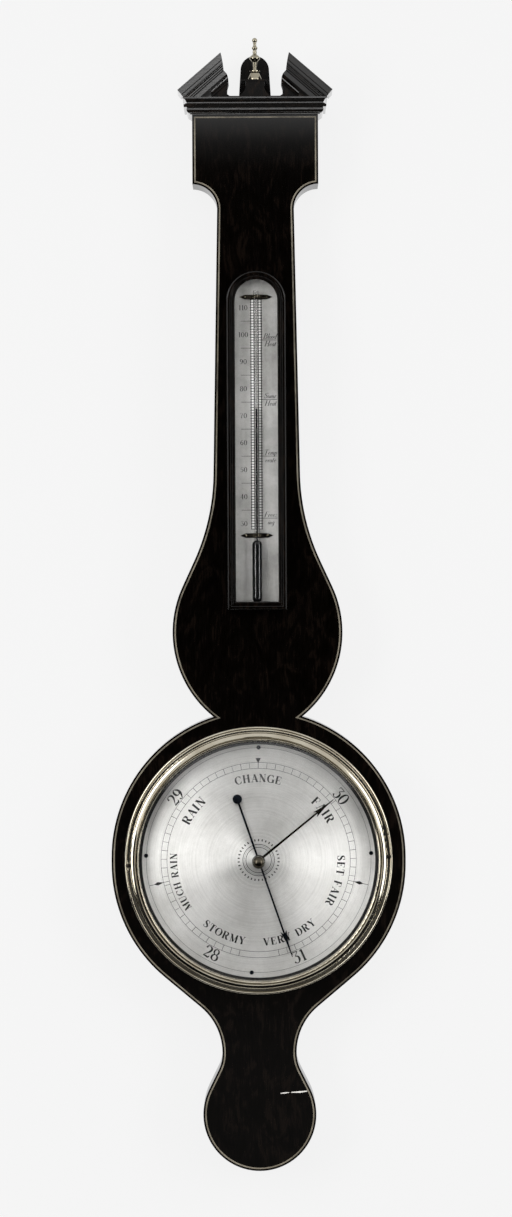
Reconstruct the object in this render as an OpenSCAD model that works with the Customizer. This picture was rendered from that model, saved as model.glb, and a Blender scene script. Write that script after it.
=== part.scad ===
// Banjo-shaped wheel barometer with a boxed thermometer and a broken pediment.
// Millimetres. The origin is the centre of the hanging hole on the wall plane y = 0.
// +Z is up and the dial faces -Y. A "rise" is a height above the dial centre.

/* [Case] */
// Depth of the wooden case from back to face
case_depth = 36; // [34:0.5:44]
// How far the hanging plate holds the case off the wall
stand_off = 2; // [1.9:0.1:3]
// Thickness of the face veneer and of the stringing let in beside it
veneer_t = 1.5; // [1:0.1:2]
// Dark edge left outside the stringing line
line_inset = 1.55; // [0.8:0.05:2]
// Width of the stringing line
line_w = 1.2; // [0.8:0.1:2]
// Gap left for glue or easing between pieces that are let in
glue = 0.05; // [0.03:0.01:0.08]

/* [Outline] */
// Radius of the round drum that holds the dial
drum_r = 125; // [122:0.5:132]
// Half the straight at each side of the drum
drum_lift = 3; // [1:0.5:5]
// Radius of the boss at the foot
boss_r = 48; // [46:0.5:52]
// Drop of the boss centre below the dial centre
boss_drop = 216; // [212:1:222]
// Half-width at the waist above the boss
waist_half = 31.5; // [31:0.5:35]
// Drop of the waist below the dial centre
waist_drop = 163.5; // [161:0.5:167]
// Radius of the hollow above the waist
waist_upper_r = 51; // [46:0.5:53]
// Radius of the hollow below the waist
waist_lower_r = 34; // [31:0.5:35]
// Half-width of the swell between neck and drum
bulge_half = 72.2; // [68:0.2:76]
// Rise of the widest part of the swell
bulge_rise = 194; // [188:1:200]
// Radius of the swell's rounded sides
bulge_r = 92; // [86:1:98]
// Half-width of the neck where its straight begins
neck_low_half = 36.8; // [35:0.2:39]
// Rise of the start of the straight neck
neck_low_rise = 328; // [322:1:336]
// Radius of the sweep from the swell into the neck
neck_sweep_r = 184; // [170:1:195]
// Half-width of the neck under the shoulder
neck_top_half = 32.6; // [32:0.2:34]
// Rise of the neck's top
neck_top_rise = 554; // [545:1:560]
// Radius of the hollow under the shoulder
shoulder_arc_r = 21; // [18:0.5:24]
// Half-width of the shoulder
shoulder_half = 53.5; // [51:0.5:56]
// Rise of the shoulder's top, under the cornice
shoulder_top = 634; // [630:1:640]

/* [Back door and tube channel] */
// Half-width of the door
door_half = 26; // [25.5:0.1:26.5]
// Thickness of the door
door_t = 6; // [5:0.25:7]
// Rise of the door's top edge
door_top = 600; // [596:1:604]
// Rise of the door's bottom edge
door_foot = -250; // [-252:0.5:-248]
// Clearance all round the door
door_gap = 0.3; // [0.2:0.05:0.5]
// Width of the ledge that the door shuts on
door_ledge = 4; // [3:0.25:5]
// Rises of the hinge middles
hinge_rises = [440, 60, -215];
// Length of a hinge
hinge_len = 30; // [26:1:36]
// Width of a hinge leaf from the pin
leaf_w = 5.5; // [5:0.1:6]
// Thickness of a hinge leaf
leaf_t = 1; // [0.8:0.1:1.2]
// Outer radius of a knuckle
knuckle_r = 1.6; // [1.4:0.05:1.8]
// Radius of a hinge pin
pin_r = 0.7; // [0.5:0.05:0.9]
// Rise of the turn button
button_rise = 194; // [180:1:210]
// Distance of the button's pivot from the door's edge
button_reach = 9; // [8:0.25:10]
// Length of the turn button
button_len = 24; // [22:0.5:28]
// Width of the turn button
button_w = 8; // [7:0.25:9]

/* [Pediment and hanger] */
// Height of the cornice
cornice_h = 14; // [13.5:0.5:16]
// Reach of the cornice beyond the shoulder
cornice_out = 7.8; // [7:0.1:9]
// Slope of the raking mouldings in degrees
rake_slope = 40.7; // [38:0.1:43]
// Reach of a rake's tip beyond the shoulder
rake_reach = 12.2; // [11:0.1:13]
// Height of a rake's tip above the cornice
rake_lift = 5.4; // [5:0.1:7]
// Reach of the rakes in front of the tympanum
rake_out = 12; // [11.5:0.25:14]
// Half the gap between the tops of the rakes
rake_gap = 29.4; // [27:0.2:31]
// Thickness of the tympanum board
tympanum_t = 22; // [20:0.5:24]
// Height of the hanging hole above the cornice
hang_height = 15; // [14:0.5:17]
// Half-width of the hanger board at its rounded top
hanger_half = 12.2; // [11.5:0.1:13.5]
// Height of the hanger board above the cornice
hanger_h = 40; // [37:0.5:43]
// Thickness of the hanger board
hanger_t = 10; // [9.5:0.25:13]
// Radius of the hanging hole
hang_hole_r = 3.5; // [3:0.1:4.5]
// Half-width of the hanging plate
hang_plate_half = 11; // [10.5:0.25:12]
// Height of the finial's pedestal above the cornice
plinth_h = 16.2; // [15.8:0.2:18]

/* [Bezel and glass] */
// Radius of the dial that shows inside the bezel
sight_r = 101.6; // [98:0.2:103]
// Width of the bezel outside the sight
bezel_w = 12.4; // [12:0.2:14]
// Height of the glass seat above the case face
glass_seat = 5.5; // [5:0.1:6.5]
// Thickness of the dial glass
glass_t = 1.8; // [1.5:0.1:2]
// Rise of the dial glass at its centre
glass_rise = 9; // [8:0.25:11]
// Distance of the bezel screws from the dial centre, inside the bezel's edge
bezel_screw_inset = 3.6; // [3.4:0.1:4]
// Clock angles of the bezel screws
bezel_screw_clock = [-92, 88.5];

/* [Dial and movement] */
// Thickness of the dial plate
dial_t = 1.2; // [1:0.1:1.5]
// Depth of the dial's face behind the case face
dial_setback = 4; // [3.5:0.1:4.5]
// Distance of the dial screws inside the sight edge
dial_screw_inset = 5.8; // [5:0.1:8]
// Clock angles of the dial screws
dial_screw_clock = [0.25, 86.7, 183.8, 272.5];
// Radius of the hole in the ledge behind the dial
ledge_hole_r = 44; // [40:1:46]
// Radius of the pulley arbor
arbor_r = 1; // [0.9:0.05:1.2]
// Thread radius on the pulley: half an inch of rise turns it 105 degrees
thread_r = 6.93; // [6.8:0.01:7.1]
// Radius of a thread
cord_r = 0.3; // [0.2:0.05:0.35]
// Half-length of the bridge behind the pulley
bridge_half = 34; // [32:0.5:38]
// Half-width of that bridge
bridge_w = 6; // [5:0.25:8]
// Thickness of that bridge
bridge_t = 2.5; // [2:0.1:2.8]
// Clock angle of the pointer at rest
pointer_clock = 161; // [150:1:170]
// Length of the pointer from the centre
pointer_len = 87; // [80:0.5:92]
// Distance of the pointer's tail ball from the centre
tail_len = 55; // [50:0.5:60]
// Clock angle of the set hand
set_hand_clock = 51; // [0:1:120]
// Length of the set hand from the centre
set_hand_len = 82; // [76:0.5:86]
// Room between the two hands
hand_gap = 4; // [3.5:0.1:4.5]
// Radius of the set-hand knob
knob_r = 5.4; // [5:0.1:6]

/* [Siphon tube] */
// Outer radius of the long limb and of the bend
long_r = 4; // [3.6:0.1:4.4]
// Bore radius of the long limb
long_bore = 2.5; // [2.2:0.1:2.8]
// Outer radius of the short limb
short_r = 6; // [5.6:0.1:6.2]
// Bore radius of the short limb
short_bore = 4.5; // [4.2:0.1:4.7]
// Rise of the open end of the short limb
short_top = -60; // [-70:1:-55]
// Height of the mercury column at 31 inches
column_h = 787; // [780:1:792]
// Radius of the float
float_r = 3.7; // [3.4:0.05:3.9]
// Length of the float's body
float_len = 30; // [26:0.5:34]
// Radius of the counterweight
weight_r = 3; // [2.6:0.1:3.2]
// Length of the counterweight
weight_len = 22; // [18:0.5:26]
// Rises of the saddles under the long limb
saddle_rises = [540, 340, 140];
// Rise of the saddle under both limbs
low_saddle_rise = -130; // [-150:1:-115]
// Length of a saddle along the tube
saddle_len = 14; // [12:0.5:18]

/* [Thermometer] */
// Half-width of the thermometer frame
therm_half = 25; // [24:0.25:26]
// Rise of the frame's arched top
therm_top = 499.5; // [495:0.5:505]
// Rise of the frame's foot
therm_foot = 213; // [208:0.5:214]
// Depth of the frame in front of the case
therm_depth = 17.5; // [17:0.25:20]
// Width of the frame's moulding
frame_w = 7; // [6.4:0.1:8]
// Radius of the thermometer's stem
stem_r = 2.1; // [1.8:0.05:2.3]
// Radius of its bulb
bulb_r = 4.2; // [3.9:0.05:4.3]
// Height of the bulb's foot above the frame's foot
bulb_lift = 5.5; // [5:0.1:8]
// Length of the bulb
bulb_len = 53; // [48:0.5:58]
// Length of the stem above the bulb
stem_len = 212; // [206:0.5:214]
// Height of the mercury thread above the bulb
therm_thread = 111.5; // [20:0.5:200]
// Distance of the lower clip above the bulb and of the upper clip below the stem's top
clip_set = [4.6, 5];

/* [Hidden] */
$fn = 96;

mahogany = "#2a1712";
veneer = "#33190f";
boxwood = "#c9b27c";
softwood = "#6b4a2c";
brass = "#b59a58";
steel = "#26303f";
silvered = "#d4d3cc";
glass = "#dfeaea";
mercury = "#b9bcc2";

// heights and depths that follow from the sizes above
cornice_top = shoulder_top + cornice_h;
dial_drop = cornice_top + hang_height;
case_back = -stand_off;
case_front = case_back - case_depth;
dial_y = case_front + dial_setback;
dial_seat = dial_y + dial_t;
arc_sag = 0.03;
past = 1;

// door, hinges and channel
door_inner = case_back - door_t;
door_play = 0.2;
channel_half = door_half - door_ledge;
channel_top = door_top - 12;
channel_foot = door_foot + 5;
hinge_x = door_half + door_gap / 2;
hinge_y = case_back;
knuckle_room = 0.25;
hinge_screw = [1.35, 0.8, 5];
hinge_screw_x = (leaf_w + knuckle_r + knuckle_room) / 2;
hinge_screw_z = hinge_len / 3;
button_x = -door_half - button_reach;
button_t = stand_off - 0.2 - glue;
button_screw_size = [2.2, 1.2, 9];

// movement, from the bridge at the back to the knob at the front
bridge_back = door_inner - door_play - 2.3;
bridge_front = bridge_back - bridge_t;
bridge_screw_x = bridge_half - 3.7;
bridge_screw_size = [2.2, 1.2, 1.2, 7.5];
pulley_back = bridge_front - 1;
weight_groove_y = pulley_back - 2.7;
float_groove_y = pulley_back - 5.5;
pulley_rim = thread_r + 1.5;
pivot_r = 0.6;
pointer_back = dial_y - 2.2;
pointer_front = pointer_back - 0.8;
collet_h = 1.3;
set_hand_back = pointer_front - hand_gap;
set_hand_t = 0.7;
spindle_r = 2.5;
glass_inner = case_front - glass_seat - glass_rise + glass_t + glue;
glass_outer = glass_inner - glass_t;
washer_t = 0.6;
glass_clear = 0.3;

// bezel, dial and their screws
bezel_r = sight_r + bezel_w;
bezel_bore = sight_r + 2;
ring_w = 1.6;
ring_h = 2.9;
sleeve_r = bezel_bore + 2;
sleeve_depth = dial_setback - 0.6;
bore_r = sleeve_r + 0.3;
glass_edge_r = bezel_bore - 0.4;
glass_curve = cap_radius(sight_r, glass_rise);
glass_edge_drop = sqrt(glass_curve * glass_curve - sight_r * sight_r)
    - sqrt(glass_curve * glass_curve - glass_edge_r * glass_edge_r);
dial_r = bezel_bore - 0.6;
dial_screw_r = sight_r - dial_screw_inset;
bezel_screw_r = bezel_r - bezel_screw_inset;
bezel_screw_seat = 1.6;
bezel_screw_size = [1.95, 1.6, 1.1, 10];
dial_screw_size = [1.75, 1, 1.1, 5.6];

// siphon tube, centred on the float's groove
tube_gap = 1.5;
channel_y = float_groove_y - short_r - tube_gap;
long_x = -channel_half + tube_gap + long_r;
long_top = door_top + 10;
short_x = thread_r;
bend_r = (short_x - long_x) / 2;
bend_x = (short_x + long_x) / 2;
bend_rise = channel_foot + bend_r + long_r + 1.3;
mercury_low = bend_rise + 28;
mercury_high = mercury_low + column_h;
float_dip = 3;
float_foot = mercury_low - float_dip;
eye_h = 3;
weight_foot = -24 - weight_len;
thread_end = -0.4;
strap_t = 0.8;
strap_len = saddle_len - 4;
strap_screw_x = long_x + long_r + 4.3;
strap_screw_size = [1.9, 1, 1, 9];
strap_hole_r = strap_screw_size[2] + glue;

// thermometer, from the case face forwards
therm_board = 2.4;
therm_plate_t = 0.85;
therm_plate_front = case_front - therm_board - glue - therm_plate_t;
therm_front = case_front - therm_depth;
therm_arch = therm_top - therm_half;
therm_lip = 3.4;
therm_wall = 3.9;
therm_glass_t = 1.15;
tube_y = therm_plate_front - bulb_r - 0.1;
bulb_foot = therm_foot + bulb_lift;
bulb_top = bulb_foot + bulb_len;
stem_top = bulb_top + stem_len;
stem_bore = 0.45;
bulb_wall = 0.6;
clip_rises = [bulb_top + clip_set[0], stem_top - clip_set[1]];
clip_t = 0.75;
clip_half = 14;
clip_pin_x = 9.6;
clip_pin_r = 0.5;

// hanging plate, screwed to the hanger board and to the carcass below the cornice
board_screw = [2, 1.1, 9];
board_screw_z = -8.5;
carcass_screw = [3, 1.6, 16];
carcass_screw_z = -hang_height - cornice_h - 10;
hang_screw_x = 7;

neck_taper = atan((neck_low_half - neck_top_half) / (neck_top_rise - neck_low_rise));

function ray(angle, length) = [length * cos(angle), length * sin(angle)];
function bearing(v) = atan2(v[1], v[0]);
// points along an arc, close enough that each chord stays within arc_sag of it
function arc(centre, r, from, to) =
    let (n = ceil(abs(to - from) / (2 * acos(1 - arc_sag / r))))
    [for (i = [0 : n]) centre + ray(from + (to - from) * i / n, r)];
// direction of the normal of the straight that crosses between two circles
function cross_normal(a, ra, b, rb, side) =
    let (d = b - a) bearing(d) + side * acos((ra + rb) / norm(d));
// the right-hand point where two circles meet
function circles_meet(a, ra, b, rb) =
    let (d = b - a, l = norm(d), k = (ra * ra - rb * rb + l * l) / (2 * l))
    a + k * d / l + sqrt(ra * ra - k * k) * [d[1], -d[0]] / l;
function mirror_tail(points) =
    [for (i = [len(points) - 2 : -1 : 0]) [-points[i][0], points[i][1]]];
// radius of the sphere that rises by h over a half-width r
function cap_radius(r, h) = (r * r + h * h) / (2 * h);

// right-hand edge of the banjo shape from shoulder to foot, drawn in by inset
function case_edge(inset) =
    let (
        shoulder = [neck_top_half + shoulder_arc_r, neck_top_rise],
        neck = [neck_low_half, neck_low_rise] + ray(neck_taper, neck_sweep_r),
        bulge = [bulge_half - bulge_r, bulge_rise],
        drum_high = [0, drum_lift],
        drum_low = [0, -drum_lift],
        upper = [waist_half + waist_upper_r, -waist_drop],
        lower = [waist_half + waist_lower_r, -waist_drop],
        boss = [0, -boss_drop],
        side = shoulder_half - inset,
        a_shoulder = acos((side - shoulder[0]) / (shoulder_arc_r + inset)),
        a_neck = cross_normal(bulge, bulge_r, neck, neck_sweep_r, -1),
        a_drum = cross_normal(drum_low, drum_r, upper, waist_upper_r, 1),
        a_boss = cross_normal(boss, boss_r, lower, waist_lower_r, -1),
        cusp = circles_meet(drum_high, drum_r - inset, bulge, bulge_r - inset)
    )
    concat([[side, shoulder_top - inset]],
        arc(shoulder, shoulder_arc_r + inset, a_shoulder, 180),
        arc(neck, neck_sweep_r + inset, 180 + neck_taper, 180 + a_neck),
        arc(bulge, bulge_r - inset, a_neck, bearing(cusp - bulge) + 0.2),
        arc(drum_high, drum_r - inset, bearing(cusp - drum_high), 0),
        arc(drum_low, drum_r - inset, 0, a_drum),
        arc(upper, waist_upper_r + inset, 180 + a_drum, 179),
        arc(lower, waist_lower_r + inset, 180, 180 + a_boss),
        arc(boss, boss_r - inset, a_boss, -90));

module at_dial() translate([0, 0, -dial_drop]) children();
// a drawing in x and rise made solid between two depths
module slab(y_back, y_front) translate([0, y_back, 0]) rotate([90, 0, 0])
    linear_extrude(y_back - y_front) children();
// a profile of radius and forward height turned about the dial axis
module turned(y = 0) translate([0, y, 0]) rotate([90, 0, 0]) rotate_extrude() children();
module rod_y(y_back, y_front, r) translate([0, y_back, 0]) rotate([90, 0, 0])
    cylinder(h = y_back - y_front, r = r);
// places a child at a clock angle and radius on the dial, seen from the front
module at_clock(clock, r) translate([r * sin(clock), 0, r * cos(clock)]) children();
module face_to_back() rotate([0, 0, 180]) children();

// round-headed screw with its head to the front and its seat at y = 0;
// size is head radius, head height, shank radius and length
module head_screw(size, turn = 0) rotate([0, turn, 0]) difference() {
    head = size[0];
    rise = size[1];
    shank = size[2];
    turned() polygon([[0, -size[3]], [shank * 0.4, -size[3]], [shank, -size[3] + shank * 1.5],
        [shank, 0], [head, 0], [head, rise * 0.45], [head * 0.8, rise * 0.85],
        [head * 0.45, rise], [0, rise]]);
    translate([-head - past, -rise - past, -head * 0.14])
        cube([2 * (head + past), past + rise * 0.5, head * 0.28]);
}
module head_screw_hole(size) rod_y(size[3] + 0.2, -past, size[2] + glue);
// screw with its head let in flush, facing the back, at y = 0;
// size is head radius, shank radius and length
module flush_screw(size) difference() {
    face_to_back() turned() polygon([[0, -size[2]], [size[1] * 0.4, -size[2]],
        [size[1], -size[2] + size[1] * 1.5], [size[1], size[1] - size[0]], [size[0], 0], [0, 0]]);
    translate([-size[0] - past, -0.45, -size[0] * 0.14])
        cube([2 * (size[0] + past), 1 + past, size[0] * 0.28]);
}
module flush_hole(size) face_to_back() turned() polygon([[0, -size[2] - 0.2],
    [size[1] + glue, -size[2] - 0.2], [size[1] + glue, size[1] - size[0]], [size[0] + glue, 0],
    [size[0] + glue, 0.5], [0, 0.5]]);

module case_solid(y_back, y_front, inset = 0) slab(y_back, y_front)
    polygon(concat(case_edge(inset), mirror_tail(case_edge(inset))));

// the wood cut away for one hinge, its leaves and knuckles
module hinge_cut() {
    translate([hinge_x - leaf_w - glue, hinge_y - leaf_t - glue, -hinge_len / 2 - glue])
        cube([2 * (leaf_w + glue), leaf_t + stand_off, hinge_len + 2 * glue]);
    translate([hinge_x, hinge_y, -hinge_len / 2 - glue])
        cylinder(h = hinge_len + 2 * glue, r = knuckle_r + knuckle_room);
}
// one leaf with its knuckles, side +1 on the case and -1 on the door;
// each knuckle is given by its start and end as shares of the hinge
module hinge_leaf(side, knuckles) difference() {
    union() {
        translate([side > 0 ? hinge_x + knuckle_r + knuckle_room : hinge_x - leaf_w,
            hinge_y - leaf_t, -hinge_len / 2])
            cube([leaf_w - knuckle_r - knuckle_room, leaf_t, hinge_len]);
        for (k = knuckles) translate([hinge_x, hinge_y, (k[0] - 0.5) * hinge_len]) {
            h = (k[1] - k[0]) * hinge_len;
            cylinder(h = h, r = knuckle_r);
            translate([side > 0 ? 0 : -knuckle_r - 2 * knuckle_room, -leaf_t, 0])
                cube([knuckle_r + 2 * knuckle_room, leaf_t, h]);
        }
    }
    translate([hinge_x, hinge_y, -hinge_len]) cylinder(h = 2 * hinge_len, r = pin_r + glue);
    for (z = [-hinge_screw_z, hinge_screw_z]) translate([hinge_x + side * hinge_screw_x, hinge_y, z])
        flush_hole(hinge_screw);
}
module at_hinges() for (rise = hinge_rises) translate([0, 0, rise]) children();
module at_hinge_screws(side) at_hinges() for (z = [-hinge_screw_z, hinge_screw_z])
    translate([hinge_x + side * hinge_screw_x, hinge_y, z]) children();
module at_saddles() for (rise = concat(saddle_rises, [low_saddle_rise]))
    translate([0, float_groove_y, rise]) children();
module at_strap_screws() at_saddles() translate([strap_screw_x, 0, 0]) children();
module strap_screw_hole() rod_y(strap_t, -strap_screw_size[3], strap_hole_r);
module at_bridge_screws() for (s = [-1, 1]) translate([s * bridge_screw_x, bridge_front, 0])
    children();
module at_bezel_screws() for (c = bezel_screw_clock) at_clock(c, bezel_screw_r)
    translate([0, case_front - bezel_screw_seat, 0]) children();
module at_dial_screws() for (c = dial_screw_clock) at_clock(c, dial_screw_r)
    translate([0, dial_y, 0]) children();
module at_hang_screws(z) for (s = [-1, 1]) translate([s * hang_screw_x, 0, z]) children();

module case_carcass() color(mahogany) difference() {
    at_dial() difference() {
        case_solid(case_back, case_front);
        case_solid(case_front + veneer_t, case_front - past, line_inset);
        // recess for the dial, then room for the pulley behind its ledge
        rod_y(dial_seat, case_front - past, bore_r);
        rod_y(pulley_back, dial_seat - past, ledge_hole_r);
        // tube channel, the bore above it and the rebate for the door
        translate([-channel_half, channel_y, channel_foot])
            cube([2 * channel_half, past - channel_y, channel_top - channel_foot]);
        translate([long_x, float_groove_y, channel_top - past])
            cylinder(h = long_top - channel_top + 8, r = long_r + 1);
        translate([-door_half - door_gap, door_inner - door_play, door_foot - door_gap])
            cube([2 * (door_half + door_gap), door_t + door_play + past,
                door_top - door_foot + 2 * door_gap]);
        translate([-bridge_half - glue, pulley_back - past, -bridge_w - glue])
            cube([2 * (bridge_half + glue), bridge_back - pulley_back + past,
                2 * (bridge_w + glue)]);
        at_bridge_screws() head_screw_hole(bridge_screw_size);
        at_hinges() hinge_cut();
        at_hinge_screws(1) flush_hole(hinge_screw);
        translate([button_x, case_back + button_t + glue, button_rise]) flush_hole(button_screw_size);
        at_dial_screws() head_screw_hole(dial_screw_size);
        at_bezel_screws() head_screw_hole(bezel_screw_size);
        at_strap_screws() strap_screw_hole();
    }
    at_hang_screws(carcass_screw_z) flush_hole(carcass_screw);
}

module front_veneer() color(veneer) at_dial() difference() {
    case_solid(case_front + veneer_t - glue, case_front, line_inset + line_w + glue);
    rod_y(dial_seat, case_front - past, bore_r);
    at_bezel_screws() head_screw_hole(bezel_screw_size);
}

module edge_stringing() color(boxwood) at_dial() difference() {
    case_solid(case_front + veneer_t - glue, case_front, line_inset + glue);
    case_solid(case_front + veneer_t, case_front - past, line_inset + line_w);
}

// section of the cornice on one side: distance out from the middle, height above the shoulder
module cornice_section(half) {
    out = half + cornice_out;
    ovolo_r = 3;
    cove_r = 2.6;
    difference() {
        union() {
            polygon([[0, 0], [out - 6.2, 0], [out - 6.2, 0.9], [out - 5.2, 0.9], [out - 3.2, 3.6],
                [out - 3.2, 4.6], [out - 3.6, 4.6], [out - 3.6, 5.6], [out - 0.9, 5.6],
                [out - 0.5, 9], [out - 3.2, 9], [out - 3.2, 10],
                [out, cornice_h - 1.2], [out, cornice_h], [0, cornice_h]]);
            translate([out - 6.2, 3.8]) circle(ovolo_r);
        }
        translate([out, cornice_h - 3.8]) circle(cove_r);
        translate([out - 3.6, 4.7]) square([ovolo_r, 0.9]);
    }
}
module cornice() color(mahogany) at_dial() translate([0, 0, shoulder_top]) intersection() {
    width = 3 * shoulder_half;
    translate([-width / 2, case_back, 0]) rotate([90, 0, 90]) linear_extrude(width)
        mirror([1, 0]) cornice_section(case_depth);
    slab(case_back, case_front - 2 * cornice_out) {
        cornice_section(shoulder_half);
        mirror([1, 0]) cornice_section(shoulder_half);
    }
}

// left rake: its tip, and the ends of its upper and lower mouldings towards the finial
rake_tip = [-shoulder_half - rake_reach, cornice_top + rake_lift];
rake_span = 60;
module end_cut(points) slab(0, 2 * case_front) translate([0, cornice_top])
    polygon(concat([[-2 * shoulder_half, rake_span], [-2 * shoulder_half, 0]], points));
module upper_end() end_cut([[3 - rake_gap, 0], [2.9 - rake_gap, 23.5], [2.2 - rake_gap, 29],
    [1.2 - rake_gap, 34], [-rake_gap, 38.5], [-rake_gap, rake_span]]);
module lower_end() end_cut([[9.2 - rake_gap, 0], [9.2 - rake_gap, 1.2], [6 - rake_gap, 3.4],
    [5.6 - rake_gap, 5.5], [5.8 - rake_gap, 9.5], [7 - rake_gap, 14], [6.6 - rake_gap, 17.5],
    [5.6 - rake_gap, 20], [2.5 - rake_gap, 23.5], [1.8 - rake_gap, 29], [-rake_gap, 38],
    [-rake_gap, rake_span]]);
// bar along the slope, its section drawn in depth and in distance below the top edge
module rake_bar() translate([rake_tip[0], 0, rake_tip[1]]) rotate([0, -rake_slope, 0])
    rotate([90, 0, 90]) linear_extrude(rake_span + 10) children();
cap_t = 4;
// fillet, fascia, small fillet and hollow band, then the wide hollow below them
module upper_section() difference() {
    union() {
        translate([case_front - rake_out, -1]) square([rake_out + tympanum_t, 1]);
        translate([case_front, -cap_t]) square([tympanum_t, cap_t]);
        translate([case_front - rake_out + 0.6, -5]) square([rake_out - 0.6, 4.6]);
        translate([case_front - rake_out + 3, -7.2]) square([rake_out - 3, 2.6]);
        translate([case_front - rake_out + 4, -12.2]) square([rake_out - 4, 5.6]);
    }
    translate([case_front - rake_out + 3.2, -9.6]) circle(2.1);
}
module lower_section() difference() {
    translate([case_front - rake_out + 7.4, -22.3]) square([rake_out - 7.4, 10.6]);
    translate([case_front - rake_out + 1.6, -23.6]) circle(9.4);
}
module pediment_rake() {
    intersection() {
        rake_bar() upper_section();
        upper_end();
    }
    intersection() {
        rake_bar() lower_section();
        lower_end();
    }
}
module pediment_rake_left() color(mahogany) at_dial() pediment_rake();
module pediment_rake_right() color(mahogany) at_dial() mirror([1, 0, 0]) pediment_rake();

foot_strip = 2;
module tympanum() color(veneer) at_dial() {
    under_cap = rake_tip[1] - (cap_t + glue) / cos(rake_slope);
    board_back = case_front + tympanum_t;
    for (s = [0, 1]) mirror([s, 0, 0]) intersection() {
        slab(board_back, case_front + glue) polygon([[rake_tip[0], under_cap - rake_span],
            [rake_tip[0], under_cap], [rake_tip[0] + rake_span, under_cap + rake_span * tan(rake_slope)],
            [rake_tip[0] + rake_span, under_cap - rake_span]]);
        lower_end();
        translate([-shoulder_half - 6, 2 * case_front, cornice_top + glue])
            cube([shoulder_half + 6, -2 * case_front, rake_span]);
    }
    translate([-rake_gap, case_front + glue, cornice_top + glue])
        cube([2 * rake_gap, tympanum_t - glue, foot_strip - glue]);
}

finial_base_r = 5.7;
finial_y = case_front + finial_base_r + 1.3;
spigot_r = 1.5;
spigot_len = 8;
// thin cap over a die with hollow sides
module finial_pedestal() color(mahogany) at_dial() translate([0, 0, cornice_top]) difference() {
    half = 12.9;
    cap_half = 12;
    cap_h = 1.4;
    hollow_r = 10.5;
    hollow_x = 18.3;
    hollow_z = 11.5;
    union() {
        difference() {
            translate([-half, case_front + 1, foot_strip + glue])
                cube([2 * half, tympanum_t - 1, plinth_h - cap_h - foot_strip - glue]);
            for (s = [-1, 1]) translate([s * hollow_x, 0, hollow_z]) rotate([90, 0, 0])
                cylinder(h = -2 * case_front, r = hollow_r);
        }
        translate([-cap_half, case_front + 0.5, plinth_h - cap_h])
            cube([2 * cap_half, tympanum_t - 0.5, cap_h]);
    }
    translate([0, finial_y, plinth_h - spigot_len - 1])
        cylinder(h = spigot_len + 1 + past, r = spigot_r + glue);
}

module finial() color(brass) at_dial() translate([0, finial_y, cornice_top + plinth_h])
    rotate_extrude() {
        ball_r = 2.2;
        polygon([[0, -spigot_len], [spigot_r, -spigot_len], [spigot_r, 0.02],
            [finial_base_r, 0.02], [finial_base_r, 1.2], [5.4, 2.2], [4.8, 3.8], [4, 5.6],
            [3.1, 6.7], [3.1, 7], [4.4, 7.3], [4.4, 7.9], [2.2, 8.2], [1.6, 8.6], [1.65, 10.2],
            [1.85, 12.7], [2.1, 15], [2.5, 15.7], [3.4, 16.7], [4.3, 17.6], [4.6, 18.5],
            [4.4, 19.5], [3.6, 20.5], [2.6, 21.3], [1.9, 22], [1.5, 22.6], [1.75, 23.4],
            [1.75, 24.4], [1.45, 25.2], [1.7, 26], [2.3, 26.7], [2.45, 27.5], [2.2, 28.1],
            [1.6, 28.8], [1.3, 29.7], [1.4, 31.2], [1.5, 32.4], [0, 32.4]]);
        translate([0, 33.9]) intersection() {
            circle(ball_r);
            translate([0, -ball_r]) square([ball_r, 2 * ball_r]);
        }
    }

module hanger_board() color(mahogany) difference() {
    at_dial() slab(case_back - glue, case_back - hanger_t) translate([0, cornice_top + glue]) {
        arch = hanger_h - hanger_half;
        polygon([[-hanger_half - 1.8, 0], [hanger_half + 1.8, 0], [hanger_half, arch],
            [-hanger_half, arch]]);
        translate([0, arch]) circle(hanger_half);
    }
    // room for the head of the hook
    rod_y(past, case_back - 7, hang_hole_r + 1.5);
    at_hang_screws(board_screw_z) flush_hole(board_screw);
}

module hanging_plate() color(brass) difference() {
    slab(0, -stand_off) {
        translate([-hang_plate_half, carcass_screw_z - 7])
            square([2 * hang_plate_half, 7 - carcass_screw_z]);
        circle(hang_plate_half);
    }
    rod_y(past, -stand_off - past, hang_hole_r);
    at_hang_screws(board_screw_z) flush_hole(board_screw);
    at_hang_screws(carcass_screw_z) flush_hole(carcass_screw);
}
module hanging_plate_screws() color(steel) {
    at_hang_screws(board_screw_z) flush_screw(board_screw);
    at_hang_screws(carcass_screw_z) flush_screw(carcass_screw);
}

module back_door() color(mahogany) at_dial() difference() {
    translate([-door_half, door_inner, door_foot])
        cube([2 * door_half, door_t, door_top - door_foot]);
    at_hinges() hinge_cut();
    at_hinge_screws(-1) flush_hole(hinge_screw);
}
module hinge_leaves_case() color(brass) at_dial() at_hinges()
    hinge_leaf(1, [[0, 0.33], [0.67, 1]]);
module hinge_leaves_door() color(brass) at_dial() at_hinges() hinge_leaf(-1, [[0.335, 0.665]]);
module hinge_pins() color(steel) at_dial() at_hinges()
    translate([hinge_x, hinge_y, -hinge_len / 2]) cylinder(h = hinge_len, r = pin_r);
module hinge_screws_case() color(steel) at_dial() at_hinge_screws(1) flush_screw(hinge_screw);
module hinge_screws_door() color(steel) at_dial() at_hinge_screws(-1) flush_screw(hinge_screw);

module door_button() color(brass) at_dial()
    translate([button_x, case_back + glue, button_rise]) difference() {
        slab(button_t, 0) {
            square([button_w, button_len - button_w], center = true);
            for (s = [-1, 1]) translate([0, s * (button_len - button_w) / 2]) circle(button_w / 2);
        }
        translate([0, button_t, 0]) flush_hole(button_screw_size);
    }
module button_screw() color(steel) at_dial()
    translate([button_x, case_back + button_t + glue, button_rise]) flush_screw(button_screw_size);

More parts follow.
